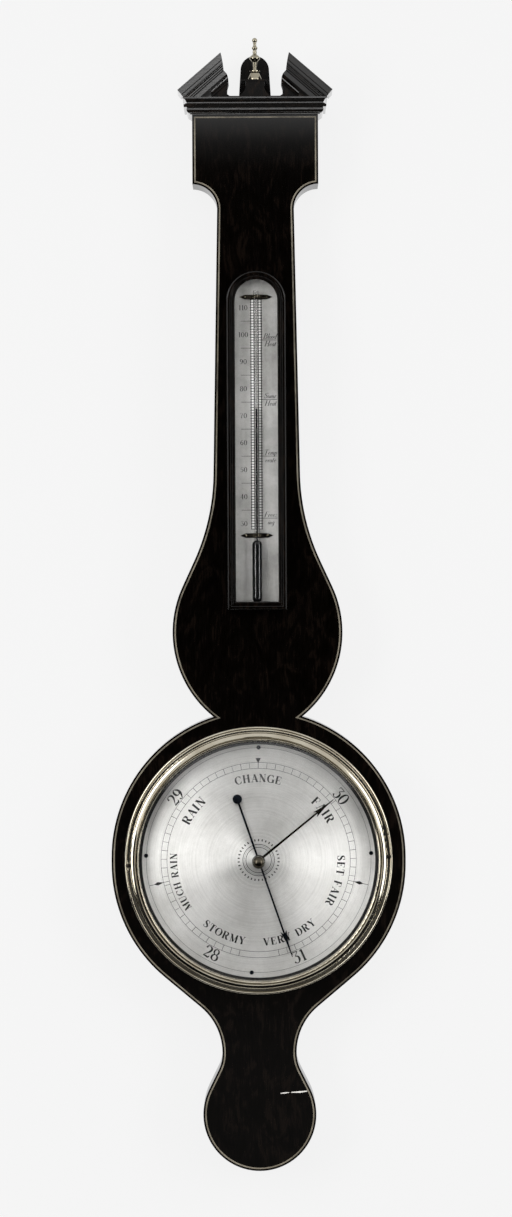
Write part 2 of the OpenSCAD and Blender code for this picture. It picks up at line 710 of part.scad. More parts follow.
module bezel() color(brass) at_dial() difference() {
    flange = 1.9;
    outer_bead = 1.25;
    inner_bead = 1.2;
    middle_bead = 0.8;
    cove_r = 6;
    brow = glass_seat + 2.5;
    turned(case_front) union() {
        difference() {
            union() {
                polygon([[bezel_bore, -sleeve_depth], [sleeve_r, -sleeve_depth], [sleeve_r, 0],
                    [bezel_r, 0], [bezel_r, flange], [bezel_r - 2.4, flange],
                    [bezel_r - 3.1, flange + 0.2], [bezel_r - 4.6, flange + 0.2],
                    [sight_r + 5, glass_seat - 1.9], [sight_r + 3, brow - 0.4],
                    [sight_r + 2.6, brow], [sight_r + 0.6, brow], [sight_r, brow - 1],
                    [sight_r, glass_seat], [bezel_bore, glass_seat]]);
                translate([bezel_r - outer_bead, flange]) circle(outer_bead);
                translate([sight_r + 1.6, brow]) circle(inner_bead);
            }
            translate([sight_r + 8, brow + 0.6]) circle(cove_r);
        }
        translate([bezel_r - 5.2, flange + 0.5]) circle(middle_bead);
    }
    at_bezel_screws() {
        rod_y(2 * bezel_w, -past, bezel_screw_size[2] + glue);
        rod_y(0, -bezel_w, bezel_screw_size[0] + 0.15);
    }
}
module bezel_screws() color(brass) at_dial() at_bezel_screws() head_screw(bezel_screw_size, 35);

// shallow dome between two equal spheres, seated under the sight edge and drilled for the spindle
module dial_glass() color(glass, 0.25) at_dial() turned(case_front) intersection() {
    top = glass_seat + glass_rise - glue;
    hole_r = spindle_r + 0.08;
    difference() {
        translate([0, top - glass_curve]) circle(glass_curve);
        translate([0, top - glass_curve - glass_t]) circle(glass_curve);
    }
    translate([hole_r, 0]) square([glass_edge_r - hole_r, 2 * top]);
}
module glass_retaining_ring() color(brass) at_dial() turned(case_front)
    translate([bezel_bore - 0.1 - ring_w, glass_seat - glass_t - glass_edge_drop - 2 * glue - ring_h])
        square([ring_w, ring_h]);

module dial_plate() color(silvered) at_dial() difference() {
    rod_y(dial_seat, dial_y, dial_r);
    rod_y(0, 2 * case_front, 3 + glue);
    at_dial_screws() rod_y(past + dial_t, -past, dial_screw_size[2] + glue);
}
module dial_screws() color(steel) at_dial() at_dial_screws() head_screw(dial_screw_size, 25);
module front_bush() color(brass) at_dial() turned(dial_seat)
    polygon([[arbor_r + glue, -1.4], [4.4, -1.4], [4.4, -glue], [3, -glue], [3, dial_t],
        [arbor_r + glue, dial_t]]);
module wheel_bridge() color(brass) at_dial() difference() {
    slab(bridge_back, bridge_front) {
        translate([bridge_w - bridge_half, -bridge_w])
            square([2 * (bridge_half - bridge_w), 2 * bridge_w]);
        for (s = [-1, 1]) translate([s * (bridge_half - bridge_w), 0]) circle(bridge_w);
    }
    rod_y(0, case_front, pivot_r + glue);
    at_bridge_screws() head_screw_hole(bridge_screw_size);
}
module bridge_screws() color(steel) at_dial() at_bridge_screws() head_screw(bridge_screw_size, 35);
module wheel_arbor() color(steel) at_dial() turned(bridge_back) {
    front = bridge_back - pointer_front + collet_h - 0.1;
    polygon([[0, 0.1], [pivot_r, 0.1], [pivot_r, bridge_t + 0.1], [arbor_r, bridge_t + 0.1],
        [arbor_r, front - 0.4], [arbor_r - 0.3, front], [0, front]]);
}
module pulley() color(brass) at_dial() turned(pulley_back) {
    root = thread_r - cord_r - glue;
    hub = 3;
    difference() {
        polygon([[arbor_r + glue, 0], [hub, 0], [hub, 1], [pulley_rim, 1], [pulley_rim, 7.4],
            [hub, 7.4], [hub, 9.4], [arbor_r + glue, 9.4]]);
        for (groove = [weight_groove_y, float_groove_y]) translate([0, pulley_back - groove])
            polygon([[root, -cord_r - 0.1], [pulley_rim + 0.2, -1.1], [pulley_rim + 0.2, 1.1],
                [root, cord_r + 0.1]]);
    }
}

// flat hand drawn pointing up, with a barb behind its fine tip
module hand_blade(tip, barb, tail, root_half) polygon([[-root_half, -tail], [root_half, -tail],
    [0.75, barb], [2.7, barb - 2.4], [0.9, barb + 7.5], [0.25, tip], [-0.25, tip],
    [-0.9, barb + 7.5], [-2.7, barb - 2.4], [-0.75, barb]]);
module pointer() color(steel) at_dial() rotate([0, pointer_clock, 0]) difference() {
    slab(pointer_back, pointer_front) {
        hand_blade(pointer_len, pointer_len - 21, tail_len - 3, 0.9);
        circle(3.6);
        translate([0, -tail_len]) circle(4);
    }
    rod_y(0, 2 * case_front, arbor_r + glue);
}
module pointer_collet() color(steel) at_dial() turned(pointer_front)
    polygon([[arbor_r + glue, glue], [2.4, glue], [2.4, collet_h / 2], [1.7, collet_h],
        [arbor_r + glue, collet_h]]);

hand_eye = 1.6;
set_hand_front = set_hand_back - set_hand_t;
module set_hand() color(brass) at_dial() rotate([0, set_hand_clock, 0]) difference() {
    slab(set_hand_back, set_hand_front) {
        hand_blade(set_hand_len, set_hand_len - 18, 3, 1.1);
        circle(4.4);
    }
    rod_y(0, 2 * case_front, hand_eye + glue);
}
// spindle from the set hand through the glass to the knob
knob_back = glass_outer - glass_clear;
knob_neck = 5;
stud_r = 1.4;
module set_hand_arbor() color(brass) at_dial() turned(set_hand_back) {
    shoulder = set_hand_t + glue;
    through = set_hand_back - knob_back + 2.5;
    polygon([[0, -0.75], [2.6, -0.75], [2.6, -glue], [hand_eye, -glue], [hand_eye, shoulder],
        [spindle_r, shoulder], [spindle_r, through], [stud_r, through], [stud_r, through + 5],
        [0, through + 5]]);
}
module set_hand_washer() color(brass) at_dial() turned(glass_inner + glass_clear + 0.2 + washer_t)
    polygon([[spindle_r + glue, 0], [5.6, 0.2], [5.6, 0.2 + washer_t],
        [spindle_r + glue, washer_t]]);
module set_hand_knob() color(brass) at_dial() turned(knob_back) difference() {
    union() {
        polygon([[0, 0], [4.6, 0], [4.6, 0.8], [3.4, 1.5], [2.9, 2.6], [2.9, knob_neck],
            [0, knob_neck]]);
        translate([0, knob_neck + knob_r - 2.4]) intersection() {
            circle(knob_r);
            translate([0, 0.8 - knob_r]) square([knob_r, 2 * knob_r]);
        }
    }
    translate([0, -past]) square([spindle_r + glue, 2.5 + glue + past]);
    translate([0, -past]) square([stud_r + glue, 7.7 + past]);
}

// the siphon's run, for its glass, its bore or its mercury
module siphon_run(r_long, r_short, top, short_end) {
    long_h = top - bend_rise;
    translate([long_x, float_groove_y, bend_rise]) rotate_extrude()
        polygon([[0, 0], [r_long, 0], [r_long, long_h - r_long],
            [r_long * 0.87, long_h - r_long * 0.5], [r_long * 0.5, long_h - r_long * 0.13],
            [0, long_h]]);
    translate([bend_x, float_groove_y, bend_rise]) rotate([-90, 0, 0])
        rotate_extrude(angle = 180) translate([bend_r, 0]) circle(r_long);
    translate([short_x, float_groove_y, bend_rise]) rotate_extrude()
        polygon([[0, 0], [r_long, 0], [r_long, 6], [r_short, 12],
            [r_short, short_end - bend_rise], [0, short_end - bend_rise]]);
}
module siphon_tube() color(glass, 0.35) at_dial() difference() {
    siphon_run(long_r, short_r, long_top, short_top);
    siphon_run(long_bore, short_bore, long_top - 2, short_top + past);
}
module siphon_mercury() color(mercury) at_dial() difference() {
    siphon_run(long_bore - glue, short_bore - glue, mercury_high, mercury_low);
    translate([short_x, float_groove_y, float_foot]) float_shape(2 * glue);
}
module float_shape(grow = 0) rotate_extrude() polygon([[0, -grow], [float_r * 0.5, 0.5 - grow],
    [float_r * 0.87 + grow, 1.9 - grow], [float_r + grow, float_r], [float_r + grow, float_len - 2],
    [float_r - 1.4, float_len], [0.9, float_len + 0.8], [0.9, float_len + eye_h],
    [0, float_len + eye_h]]);
module float() color(silvered) at_dial() translate([short_x, float_groove_y, float_foot])
    float_shape();
module float_thread() color(boxwood) at_dial() {
    low = float_foot + float_len + eye_h + glue / 2;
    translate([short_x, float_groove_y, low]) cylinder(h = thread_end - low, r = cord_r);
}
module counterweight() color(brass) at_dial() translate([-thread_r, weight_groove_y, weight_foot])
    rotate_extrude() polygon([[0, 0], [weight_r - 0.8, 0], [weight_r, 0.8],
        [weight_r, weight_len - 2], [weight_r - 1, weight_len - 0.5], [0.8, weight_len],
        [0.8, weight_len + 2], [0, weight_len + 2]]);
module counterweight_thread() color(boxwood) at_dial() {
    low = weight_foot + weight_len + 2 + glue / 2;
    translate([-thread_r, weight_groove_y, low]) cylinder(h = thread_end - low, r = cord_r);
}

// blocks on the channel floor, grooved for half the tube
module saddle_block(x_right) translate([door_play - channel_half, channel_y + glue, -saddle_len / 2])
    cube([x_right + channel_half - door_play, float_groove_y - channel_y - 2 * glue, saddle_len]);
module tube_saddles() color(softwood) at_dial() difference() {
    union() {
        for (rise = saddle_rises) translate([0, 0, rise]) saddle_block(strap_screw_x + 4.7);
        translate([0, 0, low_saddle_rise]) saddle_block(short_x + short_r + 2);
    }
    translate([long_x, float_groove_y, bend_rise])
        cylinder(h = long_top - bend_rise, r = long_r + glue);
    translate([short_x, float_groove_y, bend_rise])
        cylinder(h = short_top - bend_rise, r = short_r + glue);
    at_strap_screws() strap_screw_hole();
}
module tube_straps() color(brass) at_dial() at_saddles() translate([long_x, 0, 0]) difference() {
    outer = long_r + 0.1 + strap_t;
    translate([0, 0, -strap_len / 2]) union() {
        cylinder(h = strap_len, r = outer);
        cube([strap_screw_x - long_x + 3.2, strap_t, strap_len]);
    }
    cylinder(h = 2 * strap_len, r = long_r + glue, center = true);
    translate([-2 * outer, -2 * outer, -strap_len]) cube([4 * outer, 2 * outer, 2 * strap_len]);
    translate([strap_screw_x - long_x, 0, 0]) rod_y(2 * strap_t, -past, strap_hole_r);
}
module strap_screws() color(steel) at_dial() at_strap_screws()
    translate([0, strap_t, 0]) face_to_back() head_screw(strap_screw_size, 25);

module therm_outline(inset) {
    translate([inset - therm_half, therm_foot + inset])
        square([2 * (therm_half - inset), therm_arch - therm_foot - inset]);
    translate([0, therm_arch]) circle(therm_half - inset);
}
module thermometer_box() color(mahogany) at_dial()
    slab(case_front - glue, case_front - therm_board) therm_outline(0.8);
module frame_step(y_back, y_front, outer, inner) slab(y_back, y_front) difference() {
    therm_outline(outer);
    therm_outline(inner);
}
// built up in steps: wall, lip over the glass, outer fillet and inner bead
module thermometer_frame() color(mahogany) at_dial() {
    frame_step(case_front - therm_board - glue, therm_front + therm_lip, 0, therm_wall);
    frame_step(therm_front + therm_lip, therm_front + 0.9, 0.5, frame_w);
    frame_step(therm_front + 0.9, therm_front, 0.9, 2.9);
    frame_step(therm_front + 0.9, therm_front + 0.3, frame_w - 2.6, frame_w - 0.8);
}
module thermometer_glass() color(glass, 0.25) at_dial()
    slab(therm_front + therm_lip + glue + therm_glass_t, therm_front + therm_lip + glue)
        therm_outline(therm_wall + glue);
module thermometer_plate() color(silvered) at_dial() difference() {
    slab(therm_plate_front + therm_plate_t, therm_plate_front) therm_outline(therm_wall + glue);
    at_clip_pins() rod_y(therm_board, -therm_board, clip_pin_r + glue);
}
module at_clips() for (rise = clip_rises) translate([0, therm_plate_front, rise]) children();
module at_clip_pins() at_clips() for (s = [-1, 1]) translate([s * clip_pin_x, 0, 0]) children();
module thermometer_tube() color(glass, 0.4) at_dial() translate([0, tube_y, 0]) rotate_extrude() {
    inner = bulb_r - bulb_wall;
    polygon([[0, bulb_foot], [bulb_r * 0.5, bulb_foot + 0.56], [bulb_r * 0.87, bulb_foot + 2.1],
        [bulb_r, bulb_foot + bulb_r], [bulb_r, bulb_top - 3], [bulb_r * 0.87, bulb_top - 1.2],
        [stem_r, bulb_top], [stem_r, stem_top], [stem_bore, stem_top], [stem_bore, bulb_top],
        [inner * 0.84, bulb_top - 1.8], [inner, bulb_top - 3.4], [inner, bulb_foot + bulb_r],
        [inner * 0.82, bulb_foot + 2.6], [inner * 0.47, bulb_foot + 1.2], [0, bulb_foot + 0.7]]);
}
module thermometer_mercury() color(mercury) at_dial() translate([0, tube_y, 0]) rotate_extrude() {
    inner = bulb_r - bulb_wall - glue;
    bore = stem_bore - glue;
    polygon([[0, bulb_foot + 0.8], [inner * 0.45, bulb_foot + 1.3], [inner * 0.8, bulb_foot + 2.7],
        [inner, bulb_foot + bulb_r], [inner, bulb_top - 3.45], [inner * 0.82, bulb_top - 1.9],
        [bore, bulb_top - 0.1], [bore, bulb_top + therm_thread], [0, bulb_top + therm_thread + 0.3]]);
}
// lozenge plate with a loop over the stem
module thermometer_clips() color(brass) at_dial() at_clips() difference() {
    loop_r = stem_r + 0.7;
    reach = therm_plate_front - tube_y;
    loop_h = 3.2;
    union() {
        slab(-glue, -clip_t) polygon([[-clip_half, 0], [-clip_pin_x, 1.9], [0, 2.1],
            [clip_pin_x, 1.9], [clip_half, 0], [clip_pin_x, -1.9], [0, -2.1], [-clip_pin_x, -1.9]]);
        translate([0, -reach, 0]) cylinder(h = loop_h, r = loop_r, center = true);
        translate([-loop_r, -reach, -loop_h / 2]) cube([2 * loop_r, reach - clip_t / 2, loop_h]);
    }
    translate([0, -reach, 0]) cylinder(h = 2 * loop_h, r = stem_r + glue, center = true);
    translate([-stem_r - glue, -reach, -loop_h])
        cube([2 * (stem_r + glue), reach - clip_t, 2 * loop_h]);
    for (s = [-1, 1]) translate([s * clip_pin_x, 0, 0]) rod_y(past, -past, clip_pin_r + glue);
}
module clip_pins() color(brass) at_dial() at_clip_pins() turned(-clip_t)
    polygon([[0, -1.5], [clip_pin_r, -1.5], [clip_pin_r, glue], [1.1, glue], [1, 0.5], [0.5, 0.8],
        [0, 0.8]]);

case_carcass();
front_veneer();
edge_stringing();
cornice();
tympanum();
pediment_rake_left();
pediment_rake_right();
finial_pedestal();
finial();
hanger_board();
hanging_plate();
hanging_plate_screws();
back_door();
hinge_leaves_case();
hinge_leaves_door();
hinge_pins();
hinge_screws_case();
hinge_screws_door();
door_button();
button_screw();
bezel();
bezel_screws();
dial_glass();
glass_retaining_ring();
dial_plate();
dial_screws();
front_bush();
wheel_bridge();
bridge_screws();
wheel_arbor();
pulley();
pointer();
pointer_collet();
set_hand();
set_hand_arbor();
set_hand_knob();
set_hand_washer();
siphon_tube();
siphon_mercury();
tube_saddles();
tube_straps();
strap_screws();
float();
float_thread();
counterweight();
counterweight_thread();
thermometer_box();
thermometer_frame();
thermometer_glass();
thermometer_plate();
thermometer_tube();
thermometer_mercury();
thermometer_clips();
clip_pins();
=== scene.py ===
"""Looks of a banjo wheel barometer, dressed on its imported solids. Lengths are in metres, +Z up."""

import math

import bpy
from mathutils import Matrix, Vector


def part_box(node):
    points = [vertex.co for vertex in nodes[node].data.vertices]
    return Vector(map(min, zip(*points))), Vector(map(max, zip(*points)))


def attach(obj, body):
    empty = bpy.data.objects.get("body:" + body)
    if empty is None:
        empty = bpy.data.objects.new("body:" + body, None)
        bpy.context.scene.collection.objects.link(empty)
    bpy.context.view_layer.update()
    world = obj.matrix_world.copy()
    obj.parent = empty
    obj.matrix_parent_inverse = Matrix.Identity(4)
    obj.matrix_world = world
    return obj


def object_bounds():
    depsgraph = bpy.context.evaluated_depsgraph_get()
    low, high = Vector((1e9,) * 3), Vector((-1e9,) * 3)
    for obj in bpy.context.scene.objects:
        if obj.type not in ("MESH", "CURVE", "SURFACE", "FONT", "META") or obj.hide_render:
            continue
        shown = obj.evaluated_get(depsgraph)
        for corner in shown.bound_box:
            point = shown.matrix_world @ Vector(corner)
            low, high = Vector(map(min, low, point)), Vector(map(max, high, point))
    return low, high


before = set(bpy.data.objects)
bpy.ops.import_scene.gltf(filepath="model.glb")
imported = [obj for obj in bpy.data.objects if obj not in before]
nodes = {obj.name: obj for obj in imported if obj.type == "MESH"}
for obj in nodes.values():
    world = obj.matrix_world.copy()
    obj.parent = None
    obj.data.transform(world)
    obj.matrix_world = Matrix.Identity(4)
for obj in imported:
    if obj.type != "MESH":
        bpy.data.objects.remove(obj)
cad_low, cad_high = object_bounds()

MM = 0.001
# Measures of the photograph: its height and the rows of the dial's centre and of the number 110
PHOTO_H = 1217
DIAL_ROW = 860.4
NUMBER_ROW = 308
MM_PER_PIXEL = 0.85

# Places taken from the solids
dial_low, dial_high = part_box("dial_plate")
DIAL_FACE = dial_low.y
DIAL_Z = (dial_low.z + dial_high.z) / 2
CASE_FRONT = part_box("front_veneer")[0].y
plate_low, plate_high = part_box("thermometer_plate")
PLATE_FACE = plate_low.y
stem_low, stem_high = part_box("thermometer_tube")
TUBE_Y = (stem_low.y + stem_high.y) / 2
MERCURY_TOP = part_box("thermometer_mercury")[1].z
STEM_R = 2.1 * MM
# Half the width that the mercury thread seems to have behind the round stem
THREAD_HALF = 0.8 * MM


def hex_colour(code):
    """Linear colour of an sRGB hex value."""
    parts = [int(code[i : i + 2], 16) / 255 for i in (1, 3, 5)]
    return [c / 12.92 if c <= 0.04045 else ((c + 0.055) / 1.055) ** 2.4 for c in parts] + [1]


def add(tree, kind, inputs=None, stops=None, **settings):
    """Adds a shader node. An input given as a socket is linked, any other is set; stops fill a ramp."""
    node = tree.nodes.new("ShaderNode" + kind)
    for name, value in settings.items():
        setattr(node, name, value)
    for name, value in (inputs or {}).items():
        if isinstance(value, bpy.types.NodeSocket):
            tree.links.new(value, node.inputs[name])
        else:
            node.inputs[name].default_value = value
    for i, (place, code) in enumerate(stops or []):
        elements = node.color_ramp.elements
        stop = elements[i] if i < 2 else elements.new(place)
        stop.position = place
        stop.color = hex_colour(code)
    return node


def new_material(name):
    """An empty node material and its tree."""
    made = bpy.data.materials.new(name)
    made.use_nodes = True
    made.node_tree.nodes.clear()
    return made, made.node_tree


def per_mm(x, y, z):
    """Texture scale for features of these sizes in millimetres, on coordinates in metres."""
    return (1 / (x * MM), 1 / (y * MM), 1 / (z * MM))


def mottled(name, patch_mm, detail, stops, surface):
    """A plain finish, which drifts between two shades over patches of patch_mm."""
    made, tree = new_material(name)
    place = add(tree, "TexCoord").outputs["Object"]
    patches = add(tree, "TexNoise", {"Vector": place, "Scale": 1 / (patch_mm * MM), "Detail": detail})
    shade = add(tree, "ValToRGB", {"Fac": patches.outputs["Fac"]}, stops)
    skin = add(tree, "BsdfPrincipled", {"Base Color": shade.outputs["Color"], **surface})
    add(tree, "OutputMaterial", {"Surface": skin.outputs[0]})
    return made


# Wood

# Specular level, least and most roughness, then weight and roughness of the coat
FRESH_POLISH = (0.0, 0.2, 0.36, 0.8, 0.03)
CORNICE_POLISH = (0.9, 0.08, 0.2, 1.0, 0.04)
# The rakes take one polish that shines and one that is almost dull: painted light that makes the left
# rake lighter than the right
LEFT_RAKE_POLISH = (1.0, 0.08, 0.2, 1.0, 0.04)
RIGHT_RAKE_POLISH = (0.05, 0.08, 0.2, 0.85, 0.04)
WORN_POLISH = (0.5, 0.3, 0.45, 0.3, 0.2)
NO_POLISH = (0.15, 0.5, 0.62, 0.0, 0.2)

# Width and length of flecks and pores in the wood; both are coarser than life, so that they show
FLECK_MM = (1.6, 18)
PORE_MM = (0.6, 9)
FIGURE_STRETCH = 2.2
SWAY_MM = 6
FLECK_SHARE = 0.7
PORE_SHADE = 0.5


def polished_mahogany(name, tones, along, figure_mm, polish):
    """Old mahogany under French polish: nearly black, with swirling figure, short flecks and fine pores.
    tones run from dark to light, along is the grain's axis, figure_mm the width of the figure."""
    dark, mid, light = tones
    specular, smooth, rough, coat, coat_rough = polish
    axis = "XYZ".index(along)
    fleck_mm = [FLECK_MM[0]] * 3
    pore_mm = [PORE_MM[0]] * 3
    cloud_mm = [figure_mm] * 3
    fleck_mm[axis] = FLECK_MM[1]
    pore_mm[axis] = PORE_MM[1]
    cloud_mm[axis] = figure_mm * FIGURE_STRETCH
    made, tree = new_material(name)
    place = add(tree, "TexCoord").outputs["Object"]
    bend = add(tree, "TexNoise", {"Vector": place, "Scale": 1 / (45 * MM), "Detail": 2.0})
    sway = (SWAY_MM * MM,) * 3
    drift = add(tree, "VectorMath", {0: bend.outputs["Color"], 1: sway}, operation="MULTIPLY")
    swayed = add(tree, "VectorMath", {0: place, 1: drift.outputs[0]}, operation="ADD").outputs[0]
    grain = add(tree, "Mapping", {"Vector": swayed, "Scale": per_mm(*fleck_mm)}).outputs[0]
    flecks = add(tree, "TexNoise", {"Vector": grain, "Scale": 1.0, "Detail": 5.0, "Roughness": 0.62})
    wide = add(tree, "Mapping", {"Vector": swayed, "Scale": per_mm(*cloud_mm)}).outputs[0]
    clouds = add(tree, "TexNoise", {"Vector": wide, "Scale": 1.0, "Detail": 3.0, "Distortion": 2.2})
    fine = add(tree, "Mapping", {"Vector": place, "Scale": per_mm(*pore_mm)}).outputs[0]
    pores = add(tree, "TexNoise", {"Vector": fine, "Scale": 1.0, "Detail": 2.0})
    open_pores = add(
        tree, "ValToRGB", {"Fac": pores.outputs["Fac"]}, [(0.36, "#000000"), (0.5, "#ffffff")]
    )
    tone = add(
        tree, "Math", {0: flecks.outputs["Fac"], 1: FLECK_SHARE, 2: clouds.outputs["Fac"]},
        operation="MULTIPLY_ADD",
    )
    shade = add(tree, "ValToRGB", {"Fac": tone.outputs[0]}, [(0.68, dark), (0.9, mid), (1.0, light)])
    colour = add(
        tree, "Mix", {0: PORE_SHADE, 6: shade.outputs["Color"], 7: open_pores.outputs["Color"]},
        data_type="RGBA", blend_type="MULTIPLY",
    )
    smear = add(tree, "TexNoise", {"Vector": place, "Scale": 1 / (28 * MM), "Detail": 4.0})
    gloss = add(tree, "MapRange", {"Value": smear.outputs["Fac"], "To Min": smooth, "To Max": rough})
    relief = add(
        tree, "Bump", {"Strength": 0.22, "Distance": 0.06 * MM, "Height": open_pores.outputs["Color"]}
    )
    wood = add(
        tree, "BsdfPrincipled",
        {
            "Base Color": colour.outputs[2], "Roughness": gloss.outputs[0], "IOR": 1.5,
            "Specular IOR Level": specular, "Coat Weight": coat, "Coat Roughness": coat_rough,
            "Normal": relief.outputs[0],
        },
    )
    add(tree, "OutputMaterial", {"Surface": wood.outputs[0]})
    return made


def pale_inlay(name, dark, mid, light):
    """Boxwood inlay under aged polish, or putty: a dull pale line with short darker flecks along it."""
    made, tree = new_material(name)
    place = add(tree, "TexCoord").outputs["Object"]
    flecks = add(tree, "TexNoise", {"Vector": place, "Scale": 1 / (4 * MM), "Detail": 4.0})
    worn = add(tree, "TexNoise", {"Vector": place, "Scale": 1 / (55 * MM), "Detail": 2.0})
    tone = add(
        tree, "Math", {0: flecks.outputs["Fac"], 1: 0.5, 2: worn.outputs["Fac"]}, operation="MULTIPLY_ADD"
    )
    shade = add(tree, "ValToRGB", {"Fac": tone.outputs[0]}, [(0.5, dark), (0.75, mid), (1.0, light)])
    wood = add(
        tree, "BsdfPrincipled",
        {"Base Color": shade.outputs["Color"], "Roughness": 0.42, "IOR": 1.5, "Coat Weight": 0.2},
    )
    add(tree, "OutputMaterial", {"Surface": wood.outputs[0]})
    return made


def raw_pine():
    """Planed pine, never polished: straw bands of early and late wood."""
    made, tree = new_material("raw_pine")
    place = add(tree, "TexCoord").outputs["Object"]
    bands = add(
        tree, "TexWave", {"Vector": place, "Scale": 1 / (14 * MM), "Distortion": 3.0, "Detail": 3.0}
    )
    shade = add(tree, "ValToRGB", {"Fac": bands.outputs["Fac"]}, [(0.2, "#6e4f2f"), (0.8, "#a98457")])
    wood = add(
        tree, "BsdfPrincipled", {"Base Color": shade.outputs["Color"], "Roughness": 0.7, "IOR": 1.5}
    )
    add(tree, "OutputMaterial", {"Surface": wood.outputs[0]})
    return made


# Brass

def lacquered_brass(name, bright, dull, smooth, rough):
    """Turned and lacquered brass, gone pale with age: clouded patches dull the shine here and there."""
    made, tree = new_material(name)
    place = add(tree, "TexCoord").outputs["Object"]
    patches = add(
        tree, "TexNoise", {"Vector": place, "Scale": 1 / (24 * MM), "Detail": 2.0, "Roughness": 0.5}
    )
    shade = add(tree, "ValToRGB", {"Fac": patches.outputs["Fac"]}, [(0.3, dull), (0.62, bright)])
    gloss = add(tree, "MapRange", {"Value": patches.outputs["Fac"], "To Min": rough, "To Max": smooth})
    metal = add(
        tree, "BsdfPrincipled",
        {"Base Color": shade.outputs["Color"], "Metallic": 1.0, "Roughness": gloss.outputs[0]},
    )
    add(tree, "OutputMaterial", {"Surface": metal.outputs[0]})
    return made


# Parts that stains and rubbing marks play in the shade of silvered brass
STAIN_SHARE = 0.25
MARK_SHARE = 0.4


def silvered_brass(name, pale, grey, metallic, grained, rubbed_round):
    """Brass silvered by hand. Rubbed in circles, its fine rings draw the light out into two bright fans;
    rubbed along its length, it stays chalky, with upright streaks."""
    made, tree = new_material(name)
    place = add(tree, "TexCoord").outputs["Object"]
    bloom = add(
        tree, "TexNoise", {"Vector": place, "Scale": 1 / (32 * MM), "Detail": 5.0, "Roughness": 0.55}
    )
    stain = add(tree, "TexNoise", {"Vector": place, "Scale": 1 / (3 * MM), "Detail": 3.0})
    if rubbed_round:
        flat = (1, 0, 1)
        centred = add(tree, "Mapping", {"Vector": place, "Location": (0, 0, -DIAL_Z), "Scale": flat})
        reach = add(tree, "VectorMath", {0: centred.outputs[0]}, operation="LENGTH").outputs["Value"]
        marks = add(
            tree, "TexNoise", {"W": reach, "Scale": 1 / (1.6 * MM), "Detail": 3.0}, noise_dimensions="1D"
        )
    else:
        upright = add(tree, "Mapping", {"Vector": place, "Scale": per_mm(5, 5, 120)}).outputs[0]
        marks = add(tree, "TexNoise", {"Vector": upright, "Scale": 1.0, "Detail": 3.0})
    mottle = add(
        tree, "Math", {0: stain.outputs["Fac"], 1: STAIN_SHARE, 2: bloom.outputs["Fac"]},
        operation="MULTIPLY_ADD",
    )
    tone = add(
        tree, "Math", {0: marks.outputs["Fac"], 1: MARK_SHARE, 2: mottle.outputs[0]},
        operation="MULTIPLY_ADD",
    )
    shade = add(tree, "ValToRGB", {"Fac": tone.outputs[0]}, [(0.6, grey), (1.0, pale)])
    gloss = add(tree, "MapRange", {"Value": bloom.outputs["Fac"], "To Min": 0.51, "To Max": 0.43})
    lay = add(tree, "Tangent", direction_type="RADIAL", axis="Y")
    metal = add(
        tree, "BsdfPrincipled",
        {
            "Base Color": shade.outputs["Color"], "Metallic": metallic, "Roughness": gloss.outputs[0],
            "Anisotropic": grained, "Anisotropic Rotation": 0.25, "Tangent": lay.outputs[0],
        },
    )
    add(tree, "OutputMaterial", {"Surface": metal.outputs[0]})
    return made


# Glass and silk

def clear_glass(name, tint, ior):
    """Blown or drawn glass, very slightly wavy; lamps shine through it."""
    made, tree = new_material(name)
    place = add(tree, "TexCoord").outputs["Object"]
    waves = add(tree, "TexNoise", {"Vector": place, "Scale": 1 / (60 * MM), "Detail": 1.0})
    relief = add(tree, "Bump", {"Strength": 0.02, "Distance": 0.2 * MM, "Height": waves.outputs["Fac"]})
    glass = add(
        tree, "BsdfPrincipled",
        {
            "Base Color": hex_colour(tint), "Roughness": 0.0, "IOR": ior, "Transmission Weight": 1.0,
            "Normal": relief.outputs[0],
        },
    )
    through = add(tree, "BsdfTransparent", {"Color": hex_colour(tint)})
    rays = add(tree, "LightPath").outputs["Is Shadow Ray"]
    pane = add(tree, "MixShader", {0: rays, 1: glass.outputs[0], 2: through.outputs[0]})
    add(tree, "OutputMaterial", {"Surface": pane.outputs[0]})
    return made


def stem_glass():
    """A clear stem, which shines at its edges. Its mercury thread is painted on the glass as a near-black
    strip, as wide as the round stem makes it look: a painted image of the thread, dark as the room it
    mirrors.
    """
    made, tree = new_material("stem_glass")
    through = add(tree, "BsdfTransparent", {"Color": hex_colour("#f8f8f8")})
    shine = add(tree, "BsdfGlossy", {"Color": hex_colour("#ffffff"), "Roughness": 0.04})
    edge = add(tree, "Fresnel", {"IOR": 1.25})
    wall = add(tree, "MixShader", {0: edge.outputs[0], 1: through.outputs[0], 2: shine.outputs[0]})
    place = add(tree, "SeparateXYZ", {0: add(tree, "TexCoord").outputs["Object"]})
    # Painted thread: a near-black strip down the middle of the stem, below the mercury's top
    aside = add(tree, "Math", {0: place.outputs["X"]}, operation="ABSOLUTE")
    central = add(tree, "Math", {0: aside.outputs[0], 1: THREAD_HALF}, operation="LESS_THAN")
    below = add(tree, "Math", {0: place.outputs["Z"], 1: MERCURY_TOP}, operation="LESS_THAN")
    filled = add(tree, "Math", {0: central.outputs[0], 1: below.outputs[0]}, operation="MULTIPLY")
    thread = add(
        tree, "BsdfPrincipled", {"Base Color": hex_colour("#060607"), "Roughness": 0.1, "IOR": 1.3}
    )
    rod = add(tree, "MixShader", {0: filled.outputs[0], 1: wall.outputs[0], 2: thread.outputs[0]})
    add(tree, "OutputMaterial", {"Surface": rod.outputs[0]})
    return made


